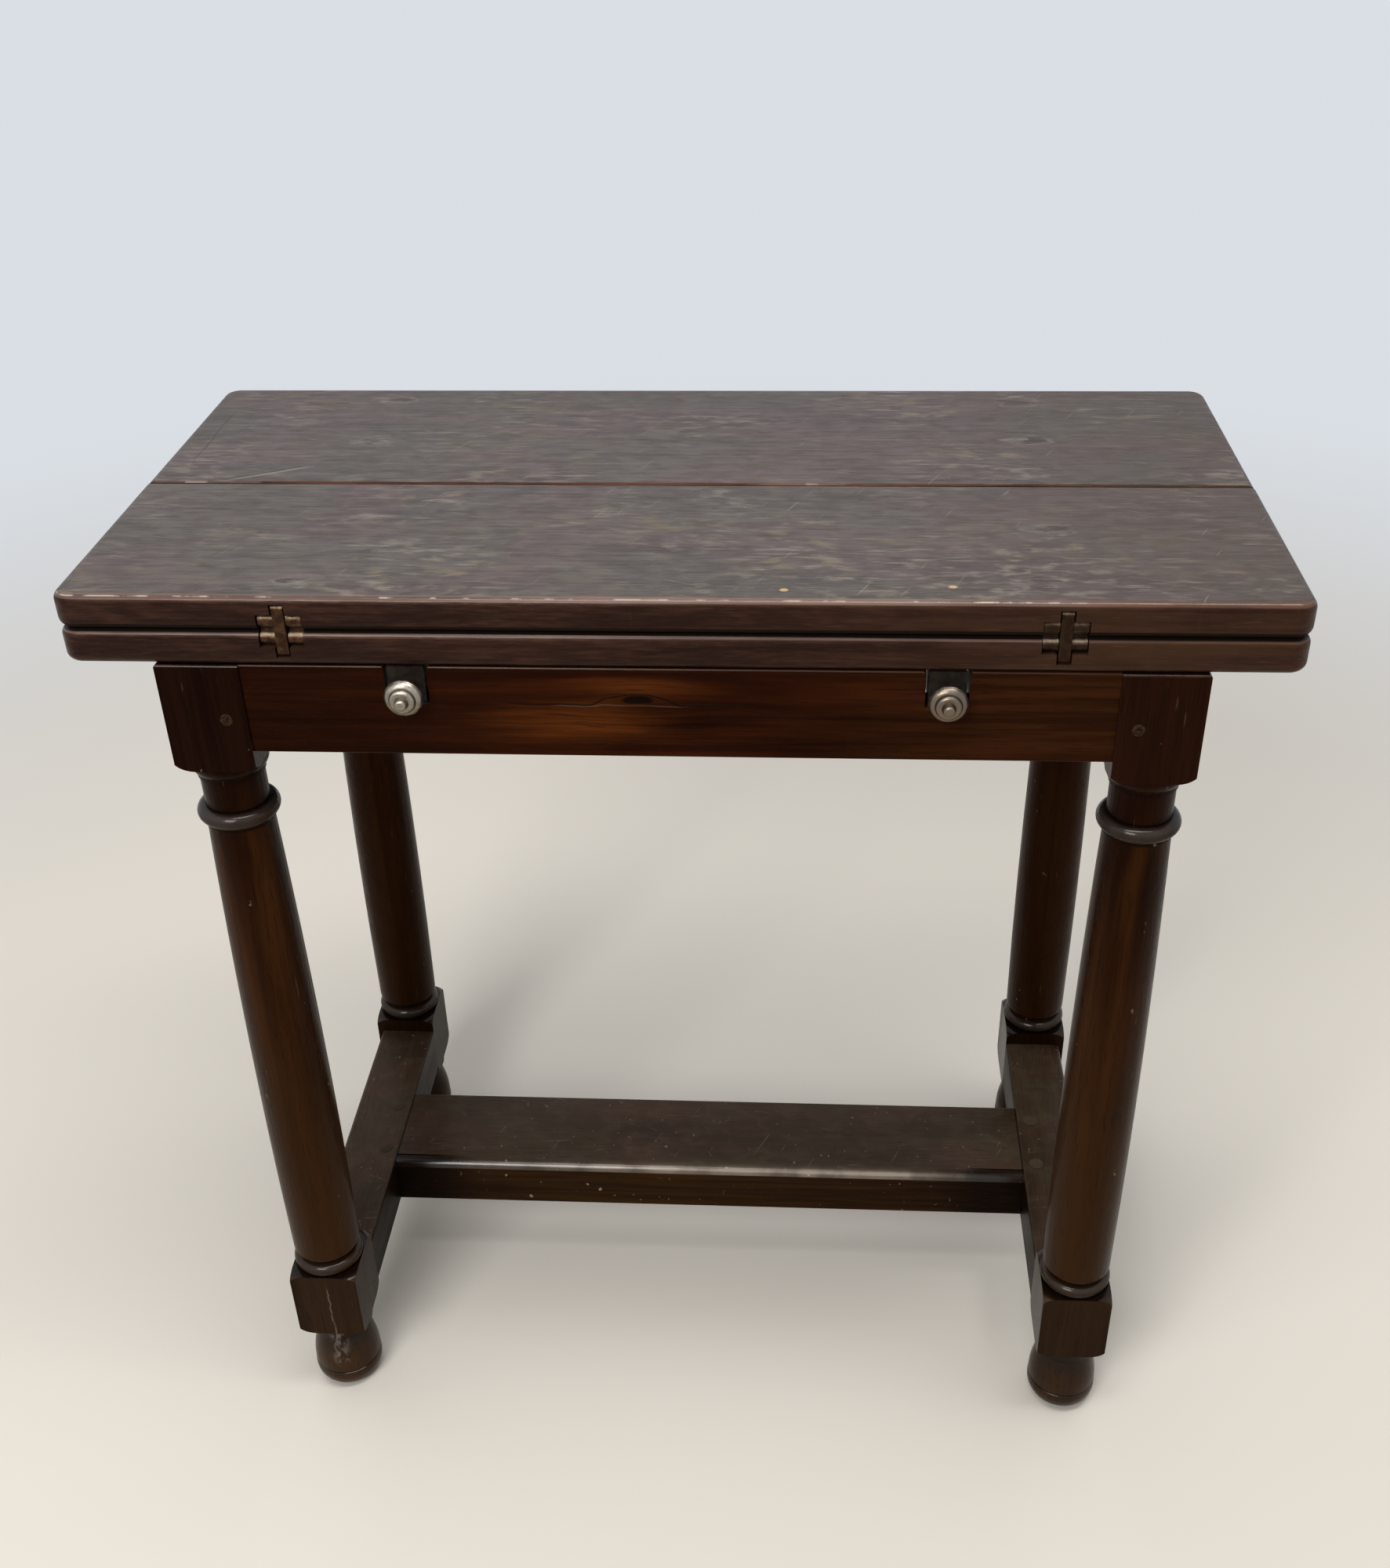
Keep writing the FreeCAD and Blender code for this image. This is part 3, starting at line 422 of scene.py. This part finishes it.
def stretcher_surface(along, seed, nosing):
    """Finish of a stretcher; nosing is how strongly its front upper edge is worn and polished, with its
    painted highlight.
    """

    def surface(place, facing):
        x, y, _ = axes(place)
        _, _, up = axes(facing)
        streaks, pores, clouds = oak(place, along, seed)
        wood = tint(streaks * 0.7 + clouds * 0.3, STRETCHER_DARK, STRETCHER_BROWN)
        trodden = step(up, 0.55, 0.95)
        scuffs = step(noise(place, (45.0, 60.0, 60.0), seed + 5.0, 5.0, 0.6), 0.42, 0.70)
        rosy = step(noise(place, (9.0, 16.0, 16.0), seed + 2.0, 2.0), 0.42, 0.60)
        upper = tint(rosy * 0.7, STRETCHER_GREY, STRETCHER_ROSE)
        shaded = step(x, *SHADED_SIDE) * 0.15
        wood = tint(trodden * (clouds * 0.30 + scuffs * 0.25 + 0.40 - shaded), wood, upper)
        wood = tint(pores * 0.5, wood, STRETCHER_DARK)
        patchy = step(noise(place, (30.0, 30.0, 30.0), seed + 6.0, 4.0), 0.34, 0.62)
        ticks = step(noise(place, (170.0, 120.0, 120.0), seed + 7.0, 2.0), 0.68, 0.74)
        middle = step(abs(x - NOSING_MIDDLE), *WEAR_AND_HIGHLIGHT_FADE) * 0.85 + 0.15
        at_front = near(y, NOSING_FRONT, NOSING_REACH) * nosing
        lip = at_front * within(up, 0.30, 0.92, 0.15)
        crumbs = ticks * step(y, *CRUMB_FADE) * nosing
        # Painted highlight: the pale core along the nosing crest, laid over real wear.
        highlight_core = at_front * near(up, 0.70, 0.24)
        worn_with_highlight = lip * middle * (patchy * 0.25 + 0.20) + highlight_core * middle * (patchy * 0.45 + 0.50)
        worn_with_highlight = worn_with_highlight + edges(facing) * patchy * 0.10 + ticks * 0.20 + crumbs * 0.35
        worn_with_highlight = worn_with_highlight + scratched(place, seed + 8.0) * trodden * 0.22
        wood = tint(worn_with_highlight, wood, STRETCHER_PALE)
        ends = step(abs(x), *END_FADE) * step(y, *FRONT_STRIP) * nosing
        quirk = near(y, QUIRK_Y, QUIRK_HALF) * step(abs(x), *QUIRK_ENDS) * nosing
        shoulder = near(abs(x), SHOULDER_X, SHOULDER_HALF)
        # The ends stay black; the quirk groove is darkened as painted shade, and a dark line runs where
        # the middle bar meets the side stretchers.
        wood = tint(ends * 0.9 + shoulder * 0.8 + quirk * 0.9, wood, GRIME_AND_SHADE)
        rough = 0.34 + clouds * 0.12 + trodden * scuffs * 0.10
        sheen = trodden * 0.10 + lip * (0.70 + patchy * 0.30)
        relief = streaks * 0.5 - pores * 0.5 + scuffs * 0.3 - ticks
        normal = bump(relief, STRETCHER_RELIEF, 0.5)
        return {"Base Color": wood, "Roughness": rough, "Coat Weight": sheen, "Normal": normal}

    return surface


finish("medial_oak", ["medial_stretcher"], stretcher_surface("X", 31.0, 1.0), **STAINED)
side_stretchers = ["left_side_stretcher", "right_side_stretcher"]
finish("side_stretcher_oak", side_stretchers, stretcher_surface("Y", 35.0, 0.0), **STAINED)

# Pegs: riven oak pins driven through the mortise and tenon joints. The domed heads in the blocks stand a
# little proud, so their rims are pale, partly rubbed and partly a painted highlight; those in the
# stretchers are trodden as grey as the rest. The same pins hold the fixed top and stop the lopers.

PEG_DARK = (0.0110, 0.0050, 0.0028)
PEG_BROWN = (0.0380, 0.0200, 0.0110)
PEG_RIM = (0.1300, 0.0800, 0.0480)
PEG_RELIEF = 0.0003


def peg_surface(place, facing):
    """Dark end grain whose rounded rim is pale, partly worn and partly a painted highlight, greyer where
    it is trodden on.
    """
    _, _, up = axes(facing)
    rays = step(noise(place, (620.0, 620.0, 620.0), 39.0, 3.0), 0.38, 0.64)
    wood = tint(rays, PEG_DARK, PEG_BROWN)
    trodden = step(up, 0.55, 0.90)
    wood = tint(trodden * 0.85, wood, STRETCHER_GREY)
    # Pale rims: rubbed wear and a painted highlight.
    wood = tint(edges(facing) * (rays * 0.4 + 0.25) * (1.0 - trodden), wood, PEG_RIM)
    rough = 0.40 + rays * 0.15
    return {"Base Color": wood, "Roughness": rough, "Normal": bump(rays, PEG_RELIEF, 0.5)}


pegs = ["rail_pegs", "stretcher_pegs", "top_pegs"] + [c + "_stop_peg" for c in CORNERS]
finish("peg_oak", pegs, peg_surface, **STAINED)

# Fixed top and flaps: wide oak boards, hinged edge to edge. The show faces have gone grey-brown under a
# worn wax finish, with cloudy scuffs, scratches, and raised eyes over the hinge screws. Hands have rubbed
# the long edges in pale dashes, and a painted highlight runs along their rounded upper edges; the inner
# faces, folded away, stay browner. Painted shade darkens the joint between the flaps and the gap under
# their edges, and a painted highlight lines the lifted lip of a split.

BOARD_MAUVE_DARK = (0.0440, 0.0320, 0.0305)
BOARD_MAUVE = (0.1370, 0.1050, 0.1010)
BOARD_GREEN_DARK = (0.0410, 0.0350, 0.0315)
BOARD_GREEN = (0.1240, 0.1080, 0.0985)
BOARD_SCUFF = (0.3000, 0.2600, 0.2200)
BOARD_OLIVE = (0.2000, 0.1640, 0.0960)
BOARD_BROWN = (0.0560, 0.0380, 0.0290)
BOARD_CHIP = (0.5200, 0.3900, 0.2000)
FACE_DARK = (0.0090, 0.0024, 0.0021)
FACE_BROWN = (0.0440, 0.0180, 0.0118)
FACE_TAN = (0.0430, 0.0200, 0.0090)
FACE_GOLD = (0.0950, 0.0500, 0.0210)
INNER_DARK = (0.0220, 0.0100, 0.0055)
INNER_BROWN = (0.0640, 0.0320, 0.0170)
EDGE_DASH = (0.6000, 0.4700, 0.3900)
EDGE_ROSE = (0.2200, 0.1450, 0.1180)
EDGE_BROWN = (0.1150, 0.0560, 0.0330)
EDGE_ORANGE = (0.1700, 0.0560, 0.0260)
MARK_REACH = (0.0130, 0.0085, 0.0400)
CHIP_REACH = (0.0030, 0.0024, 0.0100)
CRACK_WANDER, CRACK_HALF = 0.0040, 0.0013
LIP_SHIFT, LIP_HALF = -0.0024, 0.0022
JOINT_Y, JOINT_HALF = -0.0041, 0.0055
JOINT_MIDDLE = -0.05
JOINT_RUBBED = (0.38, 0.15)
JOINT_BARE = ((-0.3900, -0.3250, 0.0120), (0.0560, 0.1040, 0.0120))
LEAF_GAP = 0.7438
GAP_BAND = (-0.0014, 0.0042, 0.0009)
GAP_FACE = (0.180, 0.186)
HANDLED_STRIP = (-0.060, -0.180)
REAR_FADE = (0.0, 0.2)
BROWN_FADE = (0.10, 0.40)
TAN_FACE_FADE = (-0.05, 0.30)
GOLD_FACE_FADE = (0.0, 0.3)
LONG_EDGES = (0.150, 0.170)
ROSE_FADE = (0.30, 0.20)
BOARD_RELIEF = 0.0005


def board_surface(seed, covered, worn_with_highlight, dash_wear_and_glint, marks, splits, chips):
    """Finish of one board: whether it lies covered, how bare and how dashed its edges are (rubbed wear
    with a painted highlight), its flaws.
    """

    def surface(place, facing):
        x, y, z = axes(place)
        _, out, up = axes(facing)
        streaks, pores, clouds = oak(place, "X", seed)
        wisps = step(noise(place, (60.0, 420.0, 420.0), seed + 1.0, 4.0), 0.38, 0.66)
        mottle = step(noise(place, (48.0, 80.0, 80.0), seed + 3.0, 7.0, 0.4), 0.36, 0.64)
        patches = step(noise(place, (8.0, 13.0, 13.0), seed + 2.0, 3.0, 0.5), 0.42, 0.58)
        scuffs = step(noise(place, (55.0, 120.0, 120.0), seed + 4.0, 8.0, 0.25), 0.50, 0.68)
        rubs = step(noise(place, (9.0, 11.0, 11.0), seed + 5.0, 3.0), 0.40, 0.62)
        grazes = step(noise(place, (34.0, 240.0, 240.0), seed + 9.0, 6.0, 0.2), 0.56, 0.70)
        low = tint(patches, BOARD_MAUVE_DARK, BOARD_GREEN_DARK)
        high = tint(patches, BOARD_MAUVE, BOARD_GREEN)
        show = tint(streaks * 0.20 + wisps * 0.18 + mottle * 0.26 + clouds * 0.18 + 0.09, low, high)
        show = tint(step(x, *BROWN_FADE) * 0.50, show, BOARD_BROWN)
        scratches = scratched(place, seed + 6.0)
        handled = step(y, *HANDLED_STRIP) * 0.12
        show = tint(step(y, *REAR_FADE) * 0.14, show, BOARD_GREEN_DARK)
        show = tint(scuffs * (rubs * 0.34 + handled + 0.05), show, tint(clouds, BOARD_SCUFF, BOARD_OLIVE))
        show = tint(grazes * (rubs * 0.30 + 0.08) + scratches * 0.45, show, BOARD_SCUFF)
        show = tint(pores * 0.45, show, BOARD_MAUVE_DARK)
        eyes = 0.0
        hollows = 0.0
        for mark in marks:
            apart = distance(place, mark, MARK_REACH) + (mottle - 0.5) * 0.9 + (wisps - 0.5) * 0.3
            eyes = near(apart, 1.0, 0.40) * (scuffs * 0.6 + streaks * 0.4 + 0.12) + eyes
            hollows = step(apart, 0.75, 0.25) + hollows
        cracks = 0.0
        lip_highlights = 0.0
        drift = (noise(place, (30.0, 30.0, 0.0), seed + 12.0) - 0.5) * CRACK_WANDER
        for centre_x, centre_y, angle, reach, lifted in splits:
            along, across = turned(x - centre_x, y - centre_y, angle)
            ends = step(abs(along), reach, reach * 0.5)
            cracks = near(across + drift, 0.0, CRACK_HALF) * ends + cracks
            # Painted highlight: a pale line along the lifted lip beside each split.
            lip_highlights = near(across + drift, LIP_SHIFT, LIP_HALF) * ends * lifted + lip_highlights
        face = tint(streaks * 0.40 + wisps * 0.45 + clouds * 0.15, FACE_DARK, FACE_BROWN)
        blots = step(noise(place, (16.0, 70.0, 70.0), seed + 13.0, 5.0, 0.5), 0.40, 0.62)
        face = tint(blots * 0.70, face, FACE_DARK)
        face = tint(step(x, *TAN_FACE_FADE) * (clouds * 0.35 + streaks * 0.35), face, FACE_TAN)
        flecks = step(noise(place, (40.0, 600.0, 600.0), seed + 14.0, 2.0), 0.62, 0.76)
        face = tint(flecks * (0.20 + step(x, *GOLD_FACE_FADE) * 0.25) + scratches * 0.12, face, FACE_GOLD)
        inner = tint(streaks * 0.6 + clouds * 0.4, INNER_DARK, INNER_BROWN)
        top = step(up, 0.86, 0.985)
        upper = tint(scratches * 0.20, inner, BOARD_SCUFF) if covered else show
        wood = tint(top, face, upper)
        wood = tint(step(up, -0.70, -0.97), wood, inner)
        outer = step(abs(y), *LONG_EDGES) * step(abs(out), 0.12, 0.30)
        soft_wear = step(noise(place, (12.0, 60.0, 60.0), seed + 15.0, 4.0), 0.36, 0.64)
        dashes = step(noise(place, (60.0, 40.0, 40.0), seed + 16.0, 5.0), 0.50, 0.60)
        # The band and the crest dashes on the long upper edges are partly wear and partly a painted
        # highlight.
        band = within(up, 0.62, 0.97, 0.14) * outer * worn_with_highlight
        crest_wear_and_glint = near(up, 0.83, 0.09) * outer * dash_wear_and_glint
        left = step(x, *ROSE_FADE)
        wood = tint(band * (soft_wear * 0.40 + 0.38), wood, tint(left, EDGE_BROWN, EDGE_ROSE))
        wood = tint(crest_wear_and_glint * dashes * (left * 0.60 + 0.10), wood, EDGE_DASH)
        joint = near(y, JOINT_Y, JOINT_HALF) * step(up, 0.995, 0.93)
        orange = joint * (soft_wear * 0.40 + 0.25) * step(abs(x - JOINT_MIDDLE), *JOINT_RUBBED)
        wood = tint(orange, wood, EDGE_ORANGE)
        # Painted shade: the deeper part of the crevice between the flaps is darkened.
        wood = tint(joint * step(up, 0.80, 0.55) * 0.9, wood, GRIME_AND_SHADE)
        for run in JOINT_BARE:
            bare = joint * within(up, 0.70, 0.95, 0.05) * within(x, *run)
            wood = tint(bare * (dashes * 0.4 + 0.15), wood, EDGE_DASH)
        wood = tint(edges(facing) * 0.20 * soft_wear, wood, EDGE_BROWN)
        # Painted shade: a black band where the flap edges meet the fixed top.
        gap_shade = within(z - LEAF_GAP, *GAP_BAND) * step(abs(y), *GAP_FACE)
        wood = tint(gap_shade, wood, GRIME_AND_SHADE)
        sunk = scratches * 0.2 + hollows + cracks
        raised_wear_and_highlight = scratches * 0.2 + eyes + lip_highlights
        wood = tint(sunk * top * 0.60, wood, BOARD_MAUVE_DARK)
        # Raised marks are paled: rubbed eyes and scratches, and the painted highlight on the split lips.
        wood = tint(raised_wear_and_highlight * top * 0.42, wood, BOARD_SCUFF)
        for chip in chips:
            wood = tint(step(distance(place, chip, CHIP_REACH), 1.2, 0.6) * 0.8, wood, BOARD_CHIP)
        rough = 0.30 + clouds * 0.06 + scuffs * 0.14 + top * 0.06 + gap_shade * 0.4
        relief = streaks * 0.25 + wisps * 0.12 + mottle * 0.2 + scuffs * 0.3 + raised_wear_and_highlight * 0.6
        relief = relief - pores * 0.4 - sunk * 0.8
        normal = bump(relief, BOARD_RELIEF, 0.55)
        return {"Base Color": wood, "Roughness": rough, "Coat Weight": band * 0.35, "Normal": normal}

    return surface


SHOW_FACE = 0.7684
front_flap_flaws = (
    [(0.246, -0.080, SHOW_FACE), (0.233, -0.167, SHOW_FACE), (-0.249, -0.169, SHOW_FACE)],
    [],
    [(0.070, -0.1785, SHOW_FACE), (0.1767, -0.1723, SHOW_FACE)],
)
rear_flap_flaws = (
    [
        (-0.253, 0.174, SHOW_FACE),
        (-0.250, 0.080, SHOW_FACE),
        (0.247, 0.172, SHOW_FACE),
        (0.249, 0.083, SHOW_FACE),
    ],
    [(-0.3140, 0.0165, 27.0, 0.036, 1.3), (-0.3780, 0.0900, 90.0, 0.065, 0.0)],
    [],
)
WAXED = {"specular_ior_level": 0.17, "specular_tint": (1.0, 0.64, 0.46, 1.0), "coat_roughness": 0.16}
finish("fixed_top_oak", ["fixed_top"], board_surface(41.0, True, 0.9, 0.05, [], [], []), **WAXED)
finish("front_flap_oak", ["front_flap"], board_surface(61.0, False, 1.0, 1.0, *front_flap_flaws), **WAXED)
finish("rear_flap_oak", ["rear_flap"], board_surface(81.0, False, 0.8, 0.5, *rear_flap_flaws), **WAXED)

# Link hinges: two forked brass plates let into the edges, each with a pair of knuckles, and a bar that
# swings on a steel pin in either. The brass has gone brown, nearly black to the right, with rubbed edges;
# upward-facing parts at the knuckles, such as the bar's upper end, carry a painted highlight.

BRASS_BLACK = (0.0180, 0.0110, 0.0070)
BRASS_BROWN = (0.0340, 0.0155, 0.0085)
BRASS_DULL = (0.0900, 0.0470, 0.0250)
BRASS_BRIGHT = (0.5000, 0.3900, 0.2700)
STEEL_DARK = (0.0600, 0.0560, 0.0520)
STEEL_BRIGHT = (0.3000, 0.2900, 0.2700)
KNUCKLES = (0.1815, 0.1835)
METAL_RELIEF = 0.0003


def metal_surface(seed, black, dark, dull, bright):
    """Tarnished metal: brown clouds that blacken to the right, rubbed edges, and a painted highlight where
    it looks up.
    """

    def surface(place, facing):
        _, y, _ = axes(place)
        _, _, up = axes(facing)
        cloud = step(noise(place, (190.0, 190.0, 190.0), seed, 4.0), 0.38, 0.64)
        specks = step(noise(place, (900.0, 900.0, 900.0), seed + 1.0, 2.0), 0.45, 0.65)
        colour = tint(cloud * 0.7 + specks * 0.3, dark, dull)
        colour = tint(rightward(place) * 0.65, colour, black)
        exposed = step(abs(y), *KNUCKLES)
        # The rubbed edges and flats are wear; upward-facing parts at the knuckles get a painted highlight.
        rubbed_with_highlight = edges(facing) * (cloud * 0.10 + 0.04) + step(up, 0.45, 0.95) * exposed * 0.50
        rubbed_with_highlight = rubbed_with_highlight + step(abs(up), 0.96, 0.99) * (1.0 - exposed) * (cloud * 0.08 + 0.04)
        colour = tint(rubbed_with_highlight, colour, bright)
        rough = 0.36 + specks * 0.16 + cloud * 0.08
        normal = bump(cloud * 0.6 + specks * 0.3, METAL_RELIEF, 0.4)
        return {"Base Color": colour, "Roughness": rough, "Normal": normal}

    return surface


hinge_parts = [c + "_" + part for c in CORNERS for part in ("link", "fixed_plate", "flap_plate")]
hinge_screws = ["fixed_hinge_screws", "front_flap_screws", "rear_flap_screws"]
hinge_brass = metal_surface(71.0, BRASS_BLACK, BRASS_BROWN, BRASS_DULL, BRASS_BRIGHT)
finish("hinge_brass", hinge_parts + hinge_screws, hinge_brass, metallic=1.0)
hinge_pins = ["fixed_hinge_pins", "front_flap_pins", "rear_flap_pins"]
pin_steel = metal_surface(75.0, BRASS_BLACK, STEEL_DARK, STEEL_DARK, STEEL_BRIGHT)
finish("pin_steel", hinge_pins, pin_steel, metallic=1.0)

# Lopers: plain oak bars that slide out through the rails to carry an open flap. Their outer ends are
# black with handling; the lengths that run inside the frame have kept a clean brown.

LOPER_END_DARK = (0.0075, 0.0052, 0.0038)
LOPER_END_GREY = (0.0200, 0.0140, 0.0092)
LOPER_ENDS = (0.1850, 0.1910)
LOPER_RELIEF = 0.0004


def loper_surface(place, facing):
    """Grain along Y, darkening towards the end that shows in the rail."""
    _, y, _ = axes(place)
    streaks, pores, clouds = oak(place, "Y", 81.0)
    wood = tint(streaks * 0.6 + clouds * 0.4, INNER_DARK, INNER_BROWN)
    soot = step(noise(place, (130.0, 130.0, 130.0), 83.0, 4.0), 0.38, 0.66)
    end = tint(soot, LOPER_END_DARK, LOPER_END_GREY)
    wood = tint(step(abs(y), *LOPER_ENDS), wood, end)
    wood = tint(edges(facing) * 0.20 * soot, wood, RAIL_PALE)
    rough = 0.46 + clouds * 0.12
    normal = bump(streaks * 0.5 - pores * 0.5, LOPER_RELIEF, 0.5)
    return {"Base Color": wood, "Roughness": rough, "Normal": normal}


finish("loper_oak", [c + "_loper" for c in CORNERS], loper_surface, specular_ior_level=0.12)

# Knobs: cast and turned brass, one on each loper, with dark tarnish in the hollows; the right-hand ones
# are browner. They are painted pale where they look up and dull on the underside, a painted highlight and
# painted shade.

KNOB_DARK = (0.0300, 0.0230, 0.0160)
KNOB_DULL = (0.1500, 0.1200, 0.0880)
KNOB_PALE = (0.5200, 0.4500, 0.3600)
KNOB_BROWN = (0.1500, 0.1060, 0.0740)
KNOB_HEIGHT = 0.7020
KNOB_RADIUS = 0.0129
KNOB_HOLLOWS = (0.33, 0.67)
HOLLOW_HALF = 0.07
KNOB_RELIEF = 0.0002


def knob_surface(place, facing):
    """Rings about each knob's own axis: dark in the hollows, with a painted highlight where it looks up
    and painted shade below.
    """
    _, _, z = axes(place)
    _, _, up = axes(facing)
    aside = beside_loper(place)
    rise = z - KNOB_HEIGHT
    radius = (aside * aside + rise * rise).root() * (1.0 / KNOB_RADIUS)
    hollow = 0.0
    for share in KNOB_HOLLOWS:
        hollow = near(radius, share, HOLLOW_HALF) + hollow
    cloud = step(noise(place, (240.0, 240.0, 240.0), 91.0, 4.0), 0.36, 0.66)
    # Painted highlight and shade: pale on upward-facing surfaces, dull on downward-facing ones.
    colour = tint(step(up, -0.45, 0.75) * 0.75 + cloud * 0.2, KNOB_DULL, KNOB_PALE)
    colour = tint(rightward(place) * 0.80, colour, KNOB_BROWN)
    colour = tint(hollow * 0.75, colour, KNOB_DARK)
    rough = 0.30 + cloud * 0.14 + hollow * 0.2
    return {"Base Color": colour, "Roughness": rough, "Normal": bump(cloud, KNOB_RELIEF, 0.4)}


finish("knob_brass", [c + "_knob" for c in CORNERS], knob_surface, metallic=1.0)

# Floor: a plain pale studio floor, wide enough to fill any view. Around the table it is lit and takes
# the shadow; farther off it is shown at one even paleness, so that it also serves as the backdrop.

FLOOR_REACH = 60.0
FLOOR_PALE = (0.80, 0.75, 0.67)
BACKDROP_PALE = (0.70, 0.735, 0.78)
FLOOR_ROUGHNESS, FLOOR_SPECULAR = 0.8, 0.1
FLOOR_FADE = (0.9, 2.6)


def seen_rays(wire):
    """1 for rays that show a surface to the eye: direct, by reflection or through glass; 0 for light."""
    rays = wire.node("LightPath").socket.node
    direct, mirrored, through = [
        Wire(wire.tree, rays.outputs["Is " + ray + " Ray"]) for ray in ("Camera", "Glossy", "Transmission")
    ]
    return direct + mirrored + through


corner_signs = np.array([(-1, -1), (1, -1), (1, 1), (-1, 1)], float)
floor_mesh = bpy.data.meshes.new("floor")
floor_corners = np.column_stack([corner_signs * FLOOR_REACH, np.zeros(len(corner_signs))])
floor_mesh.from_pydata(floor_corners.tolist(), [], [(0, 1, 2, 3)])
floor = bpy.data.objects.new("floor", floor_mesh)
bpy.context.scene.collection.objects.link(floor)
floor_material = bpy.data.materials.new("floor_pale")
floor_material.use_nodes = True
floor_tree = floor_material.node_tree
floor_shader = floor_tree.nodes["Principled BSDF"]
floor_shader.inputs["Base Color"].default_value = (*FLOOR_PALE, 1.0)
floor_shader.inputs["Roughness"].default_value = FLOOR_ROUGHNESS
floor_shader.inputs["Specular IOR Level"].default_value = FLOOR_SPECULAR
floor_place = Wire(floor_tree, floor_tree.nodes.new("ShaderNodeTexCoord").outputs["Object"])
from_table = distance(floor_place, (0.0, 0.0, 0.0), (1.0, 1.0, 1.0))
far = step(from_table, *FLOOR_FADE) * seen_rays(floor_place)
backdrop = floor_place.node("Emission", sockets={"Color": (*BACKDROP_PALE, 1.0), "Strength": 1.0})
lit = Wire(floor_tree, floor_shader.outputs["BSDF"])
mixed = far.node("MixShader", sockets={0: far, 1: lit, 2: backdrop})
floor_tree.links.new(mixed.socket, floor_tree.nodes["Material Output"].inputs["Surface"])
floor_mesh.materials.append(floor_material)

# Light: a soft studio, brighter behind and above the table than in front of it, with one softbox to
# the left of the camera and a long narrow one overhead.

WORLD_FRONT = (0.10, 0.095, 0.085)
WORLD_BACK = (0.84, 0.85, 0.87)
SKY_FADE = (-0.1, 0.7)

scene = bpy.context.scene
scene.view_settings.view_transform = "Standard"
scene.world = bpy.data.worlds.new("studio")
scene.world.use_nodes = True
world_tree = scene.world.node_tree
direction = Wire(world_tree, world_tree.nodes.new("ShaderNodeTexCoord").outputs["Generated"])
_, back, up = axes(direction)
sky = tint(step(back + up * 0.4, *SKY_FADE), WORLD_FRONT, WORLD_BACK)
sky = tint(seen_rays(direction), sky, BACKDROP_PALE)
world_tree.links.new(sky.socket, world_tree.nodes["Background"].inputs["Color"])


def softbox(name, place, aim, width, depth, power):
    """Rectangular area lamp that looks from one point at another."""
    lamp = bpy.data.lights.new(name, "AREA")
    lamp.shape = "RECTANGLE"
    lamp.size = width
    lamp.size_y = depth
    lamp.energy = power
    holder = bpy.data.objects.new(name, lamp)
    scene.collection.objects.link(holder)
    holder.location = place
    holder.rotation_euler = (Vector(aim) - Vector(place)).to_track_quat("-Z", "Y").to_euler()


softbox("front_softbox", (-0.9, -2.3, 2.3), (0.0, 0.0, 0.45), 1.2, 1.2, 46.0)
softbox("top_softbox", (0.25, -0.55, 2.7), (0.0, 0.0, 0.6), 2.0, 0.45, 28.0)

# Camera: at about chest height in front of the table, a little to its right, looking down on it. The
# focal length and the shift of the lens are given in pixels of the picture that it makes.

IMAGE_WIDTH, IMAGE_HEIGHT = 1773.0, 2000.0
SENSOR = 36.0
FOCAL_PIXELS = 2168.7
CENTRE_X, CENTRE_Y = 914.0, 1039.5
CAMERA_PLACE = (0.0876, -1.1583, 1.2345)
YAW, PITCH, ROLL = 3.688, -32.955, 1.177
FARTHEST_SEEN = 200.0

camera_data = bpy.data.cameras.new("camera")
camera_data.sensor_width = SENSOR
camera_data.lens = FOCAL_PIXELS / IMAGE_HEIGHT * SENSOR
camera_data.shift_x = (IMAGE_WIDTH / 2 - CENTRE_X) / IMAGE_HEIGHT
camera_data.shift_y = (CENTRE_Y - IMAGE_HEIGHT / 2) / IMAGE_HEIGHT
camera_data.clip_end = FARTHEST_SEEN
camera = bpy.data.objects.new("camera", camera_data)
scene.collection.objects.link(camera)
turn = Matrix.Rotation(math.radians(YAW), 3, "Z") @ Matrix.Rotation(math.radians(PITCH), 3, "X")
turn = turn @ Matrix.Rotation(math.radians(ROLL), 3, "Y") @ Matrix.Rotation(math.radians(90), 3, "X")
camera.matrix_world = Matrix.Translation(CAMERA_PLACE) @ turn.to_4x4()
scene.camera = camera
